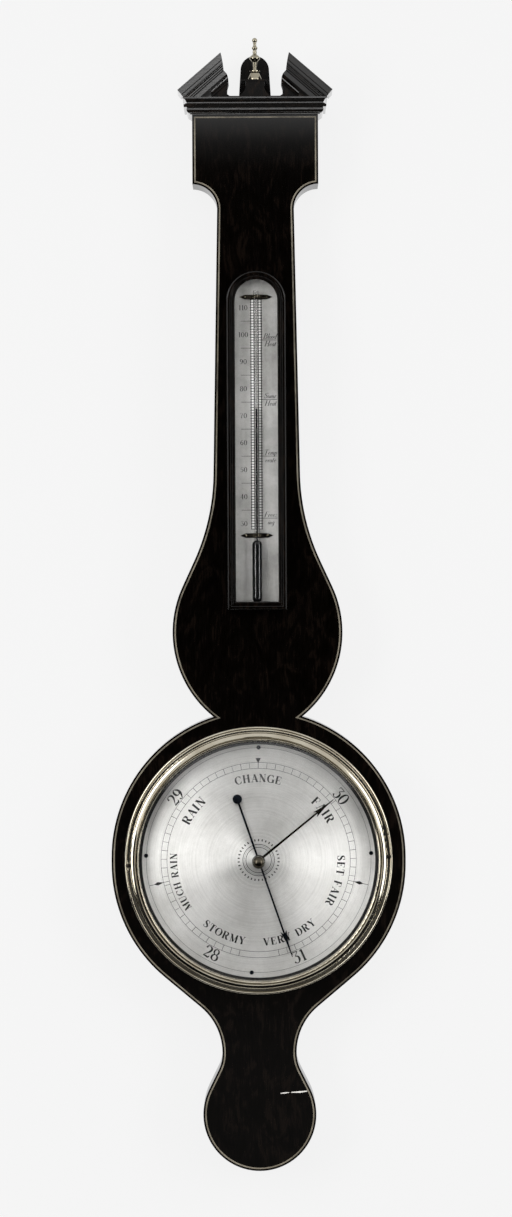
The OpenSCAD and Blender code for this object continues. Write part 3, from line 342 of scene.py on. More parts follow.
def silk_thread():
    """Twisted silk, undyed: pale and softly glossy, with a slanting lay."""
    made, tree = new_material("silk_thread")
    place = add(tree, "TexCoord").outputs["Object"]
    lay = add(
        tree, "TexWave", {"Vector": place, "Scale": 1 / (1.2 * MM), "Distortion": 0.4},
        bands_direction="DIAGONAL",
    )
    shade = add(tree, "ValToRGB", {"Fac": lay.outputs["Fac"]}, [(0.2, "#9c8b66"), (0.8, "#d3c49c")])
    silk = add(
        tree, "BsdfPrincipled",
        {"Base Color": shade.outputs["Color"], "Roughness": 0.6, "IOR": 1.5, "Sheen Weight": 0.3},
    )
    add(tree, "OutputMaterial", {"Surface": silk.outputs[0]})
    return made


VENEER_TONES = ("#030201", "#060403", "#100b08")
CASE_TONES = ("#030201", "#070504", "#130d09")
MOULDING_TONES = ("#040302", "#0a0705", "#1c1510")
DULL_TONES = ("#040302", "#090605", "#17100b")
INNER_TONES = ("#22130d", "#3a2117", "#57331f")

VENEER = polished_mahogany("mahogany_veneer", VENEER_TONES, "Z", 16, FRESH_POLISH)
CASE_WOOD = polished_mahogany("mahogany_upright", CASE_TONES, "Z", 12, FRESH_POLISH)
CORNICE_WOOD = polished_mahogany("mahogany_cornice", MOULDING_TONES, "X", 10, CORNICE_POLISH)
# Lit and shaded copies of one moulding wood, for the left and right rakes
LIT_LEFT_RAKE = polished_mahogany("mahogany_lit_left_rake", MOULDING_TONES, "X", 10, LEFT_RAKE_POLISH)
DIMMED_RIGHT_RAKE = polished_mahogany("mahogany_dimmed_right_rake", MOULDING_TONES, "X", 10, RIGHT_RAKE_POLISH)
DULL_WOOD = polished_mahogany("mahogany_dull", DULL_TONES, "Z", 12, NO_POLISH)
INNER_WOOD = polished_mahogany("mahogany_back", INNER_TONES, "Z", 14, WORN_POLISH)
BOXWOOD = pale_inlay("boxwood_line", "#4a453b", "#777061", "#979080")
PUTTY = pale_inlay("pale_putty", "#a8a49a", "#dedbd2", "#f0eee8")
PINE = raw_pine()

BRASS = lacquered_brass("lacquered_brass", "#c0baaa", "#a9a190", 0.09, 0.15)
# A darker copy of the brass for the finial: painted shade, so that the finial shows darker than the rest
# of the brass
FINIAL_SHADED_BRASS = lacquered_brass("finial_shaded_brass", "#9e9887", "#857e6d", 0.05, 0.1)
# Brass painted dark for the bezel screws, set hand, its knob and washer, and the thermometer clips:
# painted shade for the dark room their polished brass mirrors
SHADE_DARKENED_BRASS = lacquered_brass("shade_darkened_brass", "#4f4a40", "#332f28", 0.12, 0.22)
# Brass nearly black for the glass's retaining ring: painted shade that joins the bezel's shadow round the
# dial's rim
RIM_SHADE_BRASS = lacquered_brass("rim_shade_brass", "#34312b", "#24221e", 0.4, 0.5)
WORKS_BRASS = lacquered_brass("works_brass", "#b99f63", "#8d7544", 0.26, 0.42)
DIAL_SILVER = silvered_brass("silvered_dial", "#e8e7e4", "#d0cfcb", 0.88, 0.92, True)
PLATE_SILVER = silvered_brass("silvered_plate", "#c4c3c0", "#999894", 0.25, 0.3, False)
# Paler silver for painted light: the caustic strips that the thermometer stem would throw on its plate
CAUSTIC_SILVER = silvered_brass("painted_caustic_silver", "#f4f4f2", "#dcdcd9", 0.25, 0.3, False)

WINDOW = clear_glass("window_glass", "#fdfdfd", 1.3)
TUBE_GLASS = clear_glass("tube_glass", "#f6f7f6", 1.5)
STEM_GLASS = stem_glass()
SILK = silk_thread()

# Steel blued over a flame, almost black, and the filed steel of hidden screws and pins
BLUED = mottled(
    "blued_steel", 9, 3.0, [(0.3, "#101216"), (0.7, "#252a33")], {"Metallic": 1.0, "Roughness": 0.34}
)
STEEL = mottled(
    "bright_steel", 2, 4.0, [(0.3, "#4c4a47"), (0.7, "#87857f")], {"Metallic": 1.0, "Roughness": 0.38}
)
# Mercury, and glass with mercury close behind it, both near black: painted shade standing in for the dark
# room that the mercury mirrors
MERCURY = mottled(
    "darkened_quicksilver", 12, 2.0, [(0.3, "#1b1b1d"), (0.7, "#2e2e31")], {"Metallic": 1.0, "Roughness": 0.05}
)
FILLED_GLASS = mottled(
    "filled_glass_painted_dark", 12, 2.0, [(0.3, "#040405"), (0.7, "#0b0b0c")], {"Roughness": 0.03, "IOR": 1.65}
)
# Black wax melted into engraved lines, worn to grey in places; the same wax also paints the bezel's
# shadow round the dial's rim
WAX = mottled(
    "engraver_wax", 6, 4.0, [(0.35, "#0c0c0c"), (0.75, "#1e1d1c")], {"Roughness": 0.7, "IOR": 1.4}
)

FINISHES = {
    VENEER: ["front_veneer"],
    CASE_WOOD: ["case_carcass", "thermometer_box", "thermometer_frame"],
    DULL_WOOD: ["finial_pedestal", "hanger_board", "tympanum"],
    CORNICE_WOOD: ["cornice"],
    LIT_LEFT_RAKE: ["pediment_rake_left"],
    DIMMED_RIGHT_RAKE: ["pediment_rake_right"],
    INNER_WOOD: ["back_door"],
    BOXWOOD: ["edge_stringing"],
    PINE: ["tube_saddles"],
    BRASS: ["bezel", "clip_pins"],
    FINIAL_SHADED_BRASS: ["finial"],
    RIM_SHADE_BRASS: ["glass_retaining_ring"],
    SHADE_DARKENED_BRASS: [
        "bezel_screws", "set_hand", "set_hand_arbor", "set_hand_knob", "set_hand_washer",
        "thermometer_clips",
    ],
    WORKS_BRASS: [
        "hanging_plate", "hinge_leaves_case", "hinge_leaves_door", "door_button", "front_bush",
        "wheel_bridge", "pulley", "tube_straps", "counterweight",
    ],
    DIAL_SILVER: ["dial_plate"],
    PLATE_SILVER: ["thermometer_plate"],
    BLUED: ["pointer", "pointer_collet", "dial_screws"],
    STEEL: [
        "wheel_arbor", "hinge_pins", "hinge_screws_case", "hinge_screws_door", "button_screw",
        "bridge_screws", "strap_screws", "hanging_plate_screws",
    ],
    MERCURY: ["siphon_mercury"],
    FILLED_GLASS: ["thermometer_mercury"],
    WINDOW: ["dial_glass", "thermometer_glass"],
    TUBE_GLASS: ["siphon_tube", "float"],
    STEM_GLASS: ["thermometer_tube"],
    SILK: ["float_thread", "counterweight_thread"],
}
for finish, names in FINISHES.items():
    for name in names:
        slots = nodes[name].data.materials
        slots.clear()
        slots.append(finish)

# The bulb, wider than the stem, is filled with mercury, so its faces take the glass painted near black;
# the stem above it is clear
BULB_MARGIN = 0.1 * MM
tube = nodes["thermometer_tube"].data
tube.materials.append(FILLED_GLASS)
for face in tube.polygons:
    corners = [tube.vertices[i].co for i in face.vertices]
    if max(math.hypot(p.x, p.y - TUBE_Y) for p in corners) > STEM_R + BULB_MARGIN:
        face.material_index = 1


# Lettering. A glyph is its width and its strokes, in cap heights; each stroke is a run of
# (x, y, weight), where weight 0 is a hairline and 1 a full stem.

def stem(x, low=0.0, high=1.0):
    """A full upright."""
    return [(x, low, 1), (x, high, 1)]


def hair(*points):
    """A hairline through these points."""
    return [(x, y, 0) for x, y in points]


def foot(x, y, half=0.13):
    """A hairline serif."""
    return hair((x - half, y), (x + half, y))


def bowl(x, y, half_w, half_h, start, end, full=1.0, steps=16):
    """Part of an oval, thick where it runs upright; angles in degrees, anticlockwise from the right."""
    run = []
    for i in range(steps + 1):
        a = math.radians(start + (end - start) * i / steps)
        weight = full * abs(math.cos(a)) ** 1.5
        run.append((x + half_w * math.cos(a), y + half_h * math.sin(a), weight))
    return run


GLYPHS = {
    " ": (0.42, []),
    "A": (0.80, [hair((0.1, 0), (0.39, 1)), [(0.39, 1, 1), (0.7, 0, 1)], hair((0.2, 0.34), (0.58, 0.34)),
                 foot(0.1, 0), foot(0.7, 0, 0.17)]),
    "B": (0.80, [stem(0.16), hair((0.02, 0.985), (0.4, 0.985)), hair((0.02, 0.015), (0.4, 0.015)),
                 bowl(0.38, 0.76, 0.25, 0.225, 90, -90), bowl(0.38, 0.27, 0.31, 0.255, 90, -90)]),
    "C": (0.80, [bowl(0.44, 0.5, 0.38, 0.49, 42, 318), hair((0.74, 0.66), (0.74, 1)),
                 hair((0.74, 0.14), (0.74, 0.3))]),
    "D": (0.86, [stem(0.16), hair((0.02, 0.985), (0.42, 0.985)), hair((0.02, 0.015), (0.42, 0.015)),
                 bowl(0.4, 0.5, 0.38, 0.485, 90, -90)]),
    "E": (0.74, [stem(0.16), hair((0.02, 0.985), (0.64, 0.985)), hair((0.02, 0.015), (0.66, 0.015)),
                 hair((0.16, 0.52), (0.46, 0.52)), hair((0.64, 1), (0.64, 0.72)),
                 hair((0.66, 0), (0.66, 0.3)), hair((0.46, 0.4), (0.46, 0.64))]),
    "F": (0.70, [stem(0.16), hair((0.02, 0.985), (0.62, 0.985)), hair((0.16, 0.5), (0.45, 0.5)),
                 hair((0.62, 1), (0.62, 0.7)), hair((0.45, 0.38), (0.45, 0.62)), foot(0.16, 0, 0.15)]),
    "G": (0.86, [bowl(0.44, 0.5, 0.38, 0.49, 42, 330), hair((0.74, 0.66), (0.74, 1)),
                 stem(0.74, 0.02, 0.42), foot(0.74, 0.42, 0.15)]),
    "H": (0.92, [stem(0.18), stem(0.74), hair((0.18, 0.52), (0.74, 0.52)),
                 *[foot(x, y, 0.15) for x in (0.18, 0.74) for y in (0, 1)]]),
    "I": (0.40, [stem(0.2), foot(0.2, 0, 0.16), foot(0.2, 1, 0.16)]),
    "M": (1.06, [hair((0.14, 0), (0.14, 1)), [(0.14, 1, 1), (0.5, 0.03, 1)], hair((0.5, 0.03), (0.86, 1)),
                 stem(0.88), foot(0.14, 0), foot(0.1, 1, 0.1), foot(0.88, 0, 0.15), foot(0.94, 1, 0.1)]),
    "N": (0.88, [hair((0.14, 0), (0.14, 1)), [(0.12, 1, 1), (0.74, 0.02, 1)], hair((0.74, 0), (0.74, 1)),
                 foot(0.14, 0), foot(0.08, 1, 0.1), foot(0.74, 1)]),
    "O": (0.88, [bowl(0.44, 0.5, 0.39, 0.49, 0, 360, 1.0, 28)]),
    "R": (0.86, [stem(0.16), hair((0.02, 0.985), (0.42, 0.985)), bowl(0.4, 0.75, 0.27, 0.235, 90, -90),
                 hair((0.16, 0.515), (0.42, 0.515)), [(0.44, 0.5, 1), (0.62, 0.1, 1), (0.84, 0.03, 0)],
                 foot(0.16, 0, 0.15)]),
    "S": (0.66, [[(0.54, 0.74, 0), (0.5, 0.92, 0), (0.32, 0.985, 0), (0.12, 0.84, 0.6), (0.16, 0.64, 1),
                  (0.44, 0.44, 1), (0.58, 0.2, 0.7), (0.34, 0.015, 0), (0.14, 0.1, 0), (0.08, 0.28, 0)],
                 hair((0.55, 0.7), (0.55, 1)), hair((0.08, 0), (0.08, 0.3))]),
    "T": (0.78, [stem(0.39), hair((0.04, 0.985), (0.74, 0.985)), hair((0.04, 0.7), (0.04, 1)),
                 hair((0.74, 0.7), (0.74, 1)), foot(0.39, 0, 0.16)]),
    "U": (0.88, [[(0.16, 1, 1), (0.16, 0.34, 1), (0.24, 0.08, 0.6), (0.44, 0.01, 0), (0.64, 0.09, 0),
                  (0.72, 0.34, 0), (0.72, 1, 0)], foot(0.16, 1, 0.15), foot(0.72, 1)]),
    "V": (0.82, [[(0.1, 1, 1), (0.42, 0, 1)], hair((0.42, 0), (0.72, 1)), foot(0.1, 1, 0.15),
                 foot(0.72, 1)]),
    "Y": (0.80, [[(0.1, 1, 1), (0.4, 0.46, 1)], hair((0.4, 0.46), (0.7, 1)), stem(0.4, 0, 0.48),
                 foot(0.1, 1, 0.15), foot(0.7, 1), foot(0.4, 0, 0.15)]),
    "0": (0.62, [bowl(0.31, 0.5, 0.25, 0.49, 0, 360, 1.0, 28)]),
    "1": (0.44, [stem(0.24), hair((0.06, 0.86), (0.24, 0.98)), foot(0.24, 0, 0.15)]),
    "2": (0.62, [[(0.08, 0.76, 0.9), (0.12, 0.92, 0.3), (0.3, 0.985, 0), (0.52, 0.84, 0.9),
                  (0.48, 0.58, 0.8), (0.22, 0.26, 0.1), (0.06, 0.05, 0)],
                 [(0.06, 0.06, 0), (0.3, 0.08, 0.6), (0.5, 0.05, 0.5), (0.58, 0.22, 0)]]),
    "3": (0.60, [hair((0.08, 0.97), (0.54, 0.97)), hair((0.08, 0.97), (0.08, 0.8)),
                 hair((0.54, 0.97), (0.26, 0.6)),
                 [(0.26, 0.6, 0), (0.46, 0.54, 0.5), (0.53, 0.3, 1), (0.42, 0.06, 0.3), (0.24, 0.01, 0),
                  (0.06, 0.16, 0.8)]]),
    "4": (0.64, [stem(0.42), hair((0.42, 1), (0.04, 0.28)), hair((0.04, 0.28), (0.6, 0.28)),
                 foot(0.42, 0, 0.13)]),
    "5": (0.60, [hair((0.14, 0.97), (0.52, 0.97)), hair((0.14, 0.97), (0.1, 0.54)),
                 [(0.1, 0.54, 0), (0.3, 0.63, 0), (0.52, 0.34, 1), (0.4, 0.05, 0.3), (0.22, 0.01, 0),
                  (0.06, 0.16, 0.8)]]),
    "6": (0.62, [[(0.54, 0.86, 0.6), (0.36, 0.985, 0), (0.12, 0.62, 1), (0.1, 0.3, 1), (0.3, 0.01, 0)],
                 bowl(0.32, 0.3, 0.22, 0.29, -90, 150)]),
    "7": (0.60, [hair((0.06, 0.97), (0.56, 0.97)), hair((0.06, 0.97), (0.06, 0.78)),
                 [(0.56, 0.97, 0), (0.34, 0.5, 0.5), (0.26, 0, 1)]]),
    "8": (0.62, [bowl(0.31, 0.75, 0.2, 0.235, 0, 360, 0.7, 22),
                 bowl(0.31, 0.26, 0.25, 0.255, 0, 360, 0.9, 24)]),
    "9": (0.62, [[(0.08, 0.14, 0.6), (0.26, 0.01, 0), (0.5, 0.38, 1), (0.52, 0.7, 1), (0.32, 0.985, 0)],
                 bowl(0.3, 0.7, 0.22, 0.285, 90, 330)]),
}
# Small letters of the sloping hand used beside the thermometer, on the same cap height
SMALL = {
    "a": (0.46, [bowl(0.2, 0.25, 0.16, 0.25, 20, 340, 0.7),
                 [(0.36, 0.5, 0.8), (0.36, 0.08, 0.8), (0.46, 0.04, 0)]]),
    "d": (0.48, [bowl(0.2, 0.25, 0.16, 0.25, 20, 340, 0.7),
                 [(0.38, 1.0, 0.8), (0.38, 0.08, 0.8), (0.48, 0.04, 0)]]),
    "e": (0.42, [[(0.08, 0.26, 0), (0.34, 0.34, 0), (0.22, 0.5, 0.2), (0.06, 0.24, 0.8), (0.2, 0.01, 0.1),
                  (0.38, 0.12, 0)]]),
    "g": (0.46, [bowl(0.2, 0.25, 0.16, 0.25, 20, 340, 0.7),
                 [(0.36, 0.5, 0.8), (0.36, -0.2, 0.7), (0.2, -0.36, 0), (0.06, -0.24, 0)]]),
    "i": (0.24, [[(0.1, 0.5, 0.8), (0.1, 0.08, 0.8), (0.22, 0.04, 0)],
                 [(0.12, 0.68, 0.6), (0.12, 0.74, 0.6)]]),
    "l": (0.26, [[(0.12, 1.0, 0.8), (0.1, 0.08, 0.8), (0.24, 0.04, 0)]]),
    "m": (0.74, [stem(0.08, 0, 0.48),
                 [(0.08, 0.34, 0), (0.24, 0.5, 0.1), (0.34, 0.36, 0.8), (0.34, 0, 0.8)],
                 [(0.34, 0.34, 0), (0.5, 0.5, 0.1), (0.6, 0.36, 0.8), (0.6, 0.06, 0.8),
                  (0.72, 0.04, 0)]]),
    "n": (0.48, [stem(0.08, 0, 0.48),
                 [(0.08, 0.34, 0), (0.24, 0.5, 0.1), (0.34, 0.36, 0.8), (0.34, 0.06, 0.8),
                  (0.46, 0.04, 0)]]),
    "o": (0.42, [bowl(0.2, 0.25, 0.16, 0.25, 0, 360, 0.7, 20)]),
    "p": (0.46, [stem(0.08, -0.36, 0.5), bowl(0.24, 0.25, 0.16, 0.25, 160, -160, 0.7)]),
    "r": (0.34, [stem(0.08, 0, 0.48), [(0.08, 0.3, 0), (0.2, 0.48, 0.2), (0.3, 0.44, 0.6)]]),
    "t": (0.28, [[(0.12, 0.8, 0.8), (0.1, 0.08, 0.8), (0.24, 0.04, 0)], hair((0.0, 0.5), (0.24, 0.5))]),
    "u": (0.48, [[(0.08, 0.5, 0.8), (0.08, 0.12, 0.7), (0.2, 0.01, 0.1), (0.36, 0.2, 0)],
                 [(0.36, 0.5, 0.8), (0.36, 0.06, 0.8), (0.46, 0.04, 0)]]),
    "z": (0.38, [hair((0.04, 0.48), (0.32, 0.48)), hair((0.32, 0.48), (0.04, 0.02)),
                 [(0.04, 0.02, 0), (0.34, 0.02, 0.5)]]),
}
GLYPHS.update(SMALL)

# A run with more points than this is fine enough as it is
COARSE_RUN = 12


def smooth_run(run, steps=5):
    """A curve through a stroke's points, each with its weight; a straight stroke stays as it is."""
    if len(run) == 2 or len(run) > COARSE_RUN:
        return run
    points = [Vector(p) for p in run]
    ends = [points[0] * 2 - points[1]] + points + [points[-1] * 2 - points[-2]]
    out = []
    for a, b, c, d in zip(ends, ends[1:], ends[2:], ends[3:]):
        square = 2 * a - 5 * b + 4 * c - d
        cube = 3 * b - a - 3 * c + d
        for i in range(steps):
            t = i / steps
            out.append(0.5 * (2 * b + (c - a) * t + square * t**2 + cube * t**3))
    out.append(points[-1])
    return [tuple(p) for p in out]


def text_strokes(text, height, spacing=0.12, slope=0.0, thick=0.17, thin=0.045):
    """Strokes of a line of text in metres, centred on its middle: each is (glyph centre, run)."""
    pen = 0.0
    laid = []
    for letter in text:
        width, strokes = GLYPHS[letter]
        for run in strokes:
            points = []
            for x, y, weight in smooth_run(run):
                line = thin + (thick - thin) * max(0.0, min(1.0, weight))
                points.append((x - width / 2 + slope * y, y - 0.5, line))
            laid.append((pen + width / 2, points))
        pen += width + spacing
    middle = (pen - spacing) / 2
    sized = []
    for centre, run in laid:
        points = [(x * height, y * height, wide * height) for x, y, wide in run]
        sized.append(((centre - middle) * height, points))
    return sized


def on_line(text, height, x, z, **style):
    """Text centred at x, z on an upright plate."""
    strokes = text_strokes(text, height, **style)
    return [[(x + c + px, z + py, w) for px, py, w in run] for c, run in strokes]


def on_arc(text, height, clock, r, flip=False, **style):
    """Text round the dial about a clock angle, its tops outwards, or inwards where flipped."""
    runs = []
    side = -1 if flip else 1
    for c, run in text_strokes(text, height, **style):
        a = math.radians(clock) + side * c / r
        out = Vector((math.sin(a), math.cos(a)))
        right = Vector((math.cos(a), -math.sin(a))) * side
        centre = out * r
        runs.append([(*(centre + right * px + out * (side * py)), w) for px, py, w in run])
    return runs


def ring(r, width, steps=180):
    """A circle about the dial's centre."""
    angles = [2 * math.pi * i / steps for i in range(steps)]
    run = [(r * math.sin(a), r * math.cos(a), width) for a in angles]
    return run + run[:1]


def spoke(clock, inner, outer, width, tip=None):
    """A radial line at a clock angle, drawn out to another width at its outer end if tip is given."""
    a = math.radians(clock)
    ends = ((inner, width), (outer, width if tip is None else tip))
    return [(r * math.sin(a), r * math.cos(a), w) for r, w in ends]


# How far wax lines stand above their plate and reach into it
PROUD = 0.03 * MM
SUNK = 0.03 * MM
SAME_PLACE = 1e-9


def engrave(name, runs, face, x=0.0, z=0.0, finish=WAX, proud=PROUD):
    """Wax-filled lines: each run of (x, z, width) becomes a thin closed ribbon on the plate's face."""
    verts = []
    faces = []
    for run in runs:
        first = len(verts)
        count = len(run)
        points = [Vector((p[0], p[1])) for p in run]
        closed = count > 3 and (points[0] - points[-1]).length < SAME_PLACE
        for i, p in enumerate(points):
            before = points[i - 1] if i else (points[-2] if closed else p)
            after = points[i + 1] if i < count - 1 else (points[1] if closed else p)
            along = (after - before).normalized()
            side = Vector((-along.y, along.x)) * run[i][2] / 2
            for q in (p + side, p - side):
                for depth in (face - proud, face + SUNK):
                    verts.append((x + q.x, depth, z + q.y))
        for i in range(count - 1):
            a = first + 4 * i
            b = a + 4
            faces += [
                (a, b, b + 2, a + 2), (a + 1, a + 3, b + 3, b + 1),
                (a, a + 1, b + 1, b), (a + 2, b + 2, b + 3, a + 3),
            ]
        if not closed:
            last = first + 4 * (count - 1)
            faces += [(first, first + 2, first + 3, first + 1), (last, last + 1, last + 3, last + 2)]
    mesh = bpy.data.meshes.new(name)
    mesh.from_pydata(verts, [], faces)
    mesh.materials.append(finish)
    made = bpy.data.objects.new(name, mesh)
    bpy.context.scene.collection.objects.link(made)
    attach(made, "case")
    return made


# Dial: one inch of mercury turns the pointer through INCH degrees, with 29.5 at the top
INCH = 105.0
TENTH = INCH / 10
# Half tenths shown each side of the top
HALF_TENTHS = 32
SCALE_IN, SCALE_OUT = 78 * MM, 83 * MM
RIM_R = 95.6 * MM
RING_LINE, RIM_LINE = 0.32 * MM, 0.25 * MM
TENTH_LINE, HALF_LINE = 0.38 * MM, 0.3 * MM

scale_runs = [ring(SCALE_IN, RING_LINE), ring(SCALE_OUT, RING_LINE), ring(RIM_R, RIM_LINE)]
for i in range(-HALF_TENTHS, HALF_TENTHS + 1):
    scale_runs.append(spoke(i * TENTH / 2, SCALE_IN, SCALE_OUT, HALF_LINE if i % 2 else TENTH_LINE))
engrave("dial_scale", scale_runs, DIAL_FACE, z=DIAL_Z)

# Painted shadow of the bezel's brow on the dial: a ring of black wax inside the bezel, set low so that it
# is widest at the top; in part also the dark joint between the dial and its bezel
RIM_SHADOW_R, RIM_SHADOW_WIDE, RIM_SHADOW_DROP = 100.7 * MM, 3 * MM, 0.8 * MM
engrave("dial_rim_shadow", [ring(RIM_SHADOW_R, RIM_SHADOW_WIDE)], DIAL_FACE, z=DIAL_Z - RIM_SHADOW_DROP)

NUMERALS = [("28", -153, True), ("29", -52.5, False), ("30", 52.5, False), ("31", 157.5, True)]
NUMERAL_H, NUMERAL_R = 10 * MM, 88.7 * MM
numeral_runs = []
for text, clock, flip in NUMERALS:
    numeral_runs += on_arc(
        text, NUMERAL_H, clock, NUMERAL_R, flip, spacing=0.08, thick=0.18, thin=0.06
    )
engrave("dial_numerals", numeral_runs, DIAL_FACE, z=DIAL_Z)

# Word, clock angle, whether its tops point inwards, letter height and radius in mm
WORDS = [
    ("STORMY", -154.5, True, 6.3, 69.8), ("MUCH RAIN", -105, False, 5.8, 72.4),
    ("RAIN", -52.5, False, 7.2, 69.8), ("CHANGE", 0, False, 6.6, 69.8), ("FAIR", 52.5, False, 7.2, 69.8),
    ("SET FAIR", 105, False, 6.5, 70.2), ("VERY DRY", 157.5, True, 6.2, 69.8),
]
word_runs = []
for text, clock, flip, tall, r in WORDS:
    word_runs += on_arc(text, tall * MM, clock, r * MM, flip, spacing=0.2, thick=0.24, thin=0.06)
engrave("dial_words", word_runs, DIAL_FACE, z=DIAL_Z)

# A rose of rings and dots about the centre, then an arrow each side and one at the top, in mm:
# radius and width of a ring; inner and outer radius and both widths of an arrow's parts
ROSE_RINGS = [(10.8, 0.5), (13.4, 0.5), (12.2, 0.2)]
ROSE_STEPS = 72
DOTS = 34
DOT_IN, DOT_OUT, DOT_WIDE = 16.1, 17.9, 1.0
SIDE_CLOCK = 103
SIDE_ARROW = [(78, 95.6, 0.4, 0.4), (83.6, 88, 0.4, 2.9), (88, 91, 2.9, 0.4)]
TOP_ARROW = [(78, 83.2, 0.5, 0.5), (83, 86.8, 0.6, 4.6)]

rose_runs = [ring(r * MM, wide * MM, ROSE_STEPS) for r, wide in ROSE_RINGS]
for i in range(DOTS):
    rose_runs.append(spoke(360 * i / DOTS, DOT_IN * MM, DOT_OUT * MM, DOT_WIDE * MM))
for clock, parts in ((-SIDE_CLOCK, SIDE_ARROW), (SIDE_CLOCK, SIDE_ARROW), (0, TOP_ARROW)):
    for inner, outer, wide, tip in parts:
        rose_runs.append(spoke(clock, inner * MM, outer * MM, wide * MM, tip * MM))
engrave("dial_ornament", rose_runs, DIAL_FACE, z=DIAL_Z)

# Thermometer plate: a ladder behind the stem, ten degrees to DECADE, with a painted caustic strip each
# side: paler silver standing in for lamplight that the stem focuses on the plate
DECADE = 22.92 * MM
TOP_NUMBER = 110
TOP_Z = DIAL_Z + (DIAL_ROW - NUMBER_ROW) * MM_PER_PIXEL * MM
LOW_DEGREE, HIGH_DEGREE = 28, 113
LADDER_OUT = 5.1 * MM
# Place across the plate and width, in mm, of the painted caustic strips, and of the uprights: the
# ladder's own and the stem's painted dark edges
CAUSTIC_STRIPS = [(-3.2, 1.8), (3.0, 1.4)]
# The inner pair, 1.6 mm each side of the stem, is painted shade: the dark edges of the glass stem, drawn
# on the plate behind it
UPRIGHTS_AND_STEM_EDGES = [(-4.4, 0.6), (-1.6, 0.45), (1.6, 0.45), (4.4, 0.6)]
# A rung is finer where it passes behind the stem
RUNG_LINE, STEM_LINE = 0.6 * MM, 0.25 * MM
RUNG_PARTS = [
    (-LADDER_OUT, -STEM_R, RUNG_LINE), (-STEM_R, STEM_R, STEM_LINE), (STEM_R, LADDER_OUT, RUNG_LINE),
]
FIVE_END, FIVE_LINE = -13 * MM, 0.35 * MM


def degree_z(degree):
    """Height of a degree on the plate."""
    return TOP_Z - (TOP_NUMBER - degree) / 10 * DECADE


def upright_line(x_mm, wide_mm):
    """A line up the plate, as long as the ladder."""
    return [(x_mm * MM, degree_z(d), wide_mm * MM) for d in (LOW_DEGREE, HIGH_DEGREE)]


def level_line(degree, start, end, wide):
    """A line across the plate at a degree's height."""
    return [(x, degree_z(degree), wide) for x in (start, end)]


caustic_runs = [upright_line(x, wide) for x, wide in CAUSTIC_STRIPS]
engrave("thermometer_caustics", caustic_runs, PLATE_FACE, finish=CAUSTIC_SILVER, proud=0.01 * MM)
ladder_runs = [upright_line(x, wide) for x, wide in UPRIGHTS_AND_STEM_EDGES]
for degree in range(LOW_DEGREE, HIGH_DEGREE + 1):
    for start, end, wide in RUNG_PARTS:
        ladder_runs.append(level_line(degree, start, end, wide))
for degree in range(35, TOP_NUMBER, 10):
    ladder_runs.append(level_line(degree, FIVE_END, -LADDER_OUT, FIVE_LINE))
engrave("thermometer_scale", ladder_runs, PLATE_FACE)

NUMBER_H, NUMBER_X = 4.2 * MM, -11 * MM
number_runs = []
for degree in range(30, TOP_NUMBER + 1, 10):
    number_runs += on_line(str(degree), NUMBER_H, NUMBER_X, degree_z(degree), thick=0.16)
engrave("thermometer_numbers", number_runs, PLATE_FACE)

LEGENDS = [("Blood", "Heat", 98), ("Sumr", "Heat", 76), ("Temp", "erate", 55), ("Freez", "ing", 32)]
LEGEND_H = 4.4 * MM
LEGEND_STYLE = {"slope": 0.35, "spacing": 0.04, "thick": 0.14}
# Place across the plate, and rise above the legend's line, of its two words
UPPER_X, UPPER_RISE = 11.4 * MM, 3.3 * MM
LOWER_X, LOWER_RISE = 11.6 * MM, -3.1 * MM
LEGEND_END, LEGEND_LINE = 17.5 * MM, 0.45 * MM
legend_runs = []
for upper, lower, degree in LEGENDS:
    z = degree_z(degree)
    legend_runs += on_line(upper, LEGEND_H, UPPER_X, z + UPPER_RISE, **LEGEND_STYLE)
    legend_runs += on_line(lower, LEGEND_H, LOWER_X, z + LOWER_RISE, **LEGEND_STYLE)
    legend_runs.append(level_line(degree, LADDER_OUT, LEGEND_END, LEGEND_LINE))
engrave("thermometer_legends", legend_runs, PLATE_FACE)

# A crack in the veneer beside the boss, stopped with pale putty; places and widths in mm
CRACK = [
    [(17.6, -198.1, 0.5), (21.0, -197.8, 1.1), (25.0, -197.4, 0.5)],
    [(26.7, -197.3, 0.7), (34.0, -197.0, 1.5), (40.4, -196.3, 0.8)],
]
crack_runs = [[(x * MM, z * MM, wide * MM) for x, z, wide in run] for run in CRACK]
engrave("veneer_crack", crack_runs, CASE_FRONT, z=DIAL_Z, finish=PUTTY)


# Softened arrises on the solids, in mm, so that edges catch the light as worn ones do
ARRIS = {
    "case_carcass": 0.25, "tympanum": 0.3, "finial_pedestal": 0.3, "hanger_board": 0.6, "back_door": 0.6,
    "thermometer_frame": 0.2, "hanging_plate": 0.25, "door_button": 0.3, "wheel_bridge": 0.25,
    "thermometer_clips": 0.15,
}
# The narrow steps of this frame stay flat between their arrises
CRISP = ("thermometer_frame",)
WELD_GAP = 0.005 * MM
ARRIS_ANGLE = math.radians(28)
for name, width in ARRIS.items():
    joined = nodes[name].modifiers.new("joined", "WELD")
    joined.merge_threshold = WELD_GAP
    rounded = nodes[name].modifiers.new("rounded", "BEVEL")
    rounded.width = width * MM
    rounded.segments = 2
    rounded.limit_method = "ANGLE"
    rounded.angle_limit = ARRIS_ANGLE
    rounded.harden_normals = name in CRISP
    if name not in CRISP:
        shaded = nodes[name].modifiers.new("shaded", "WEIGHTED_NORMAL")
        shaded.keep_sharp = True

# A turned profile is creased where it turns by more than this
TURNED_CREASE = math.cos(math.radians(50))
# A face's slope in the profile is shorter than this where the face wasn't turned, as in a screw hole
TURNED_SLOPE = 0.98
# Decimals to which points and slopes of the profile are matched
POINT_DIGITS = 6
SLOPE_DIGITS = 2


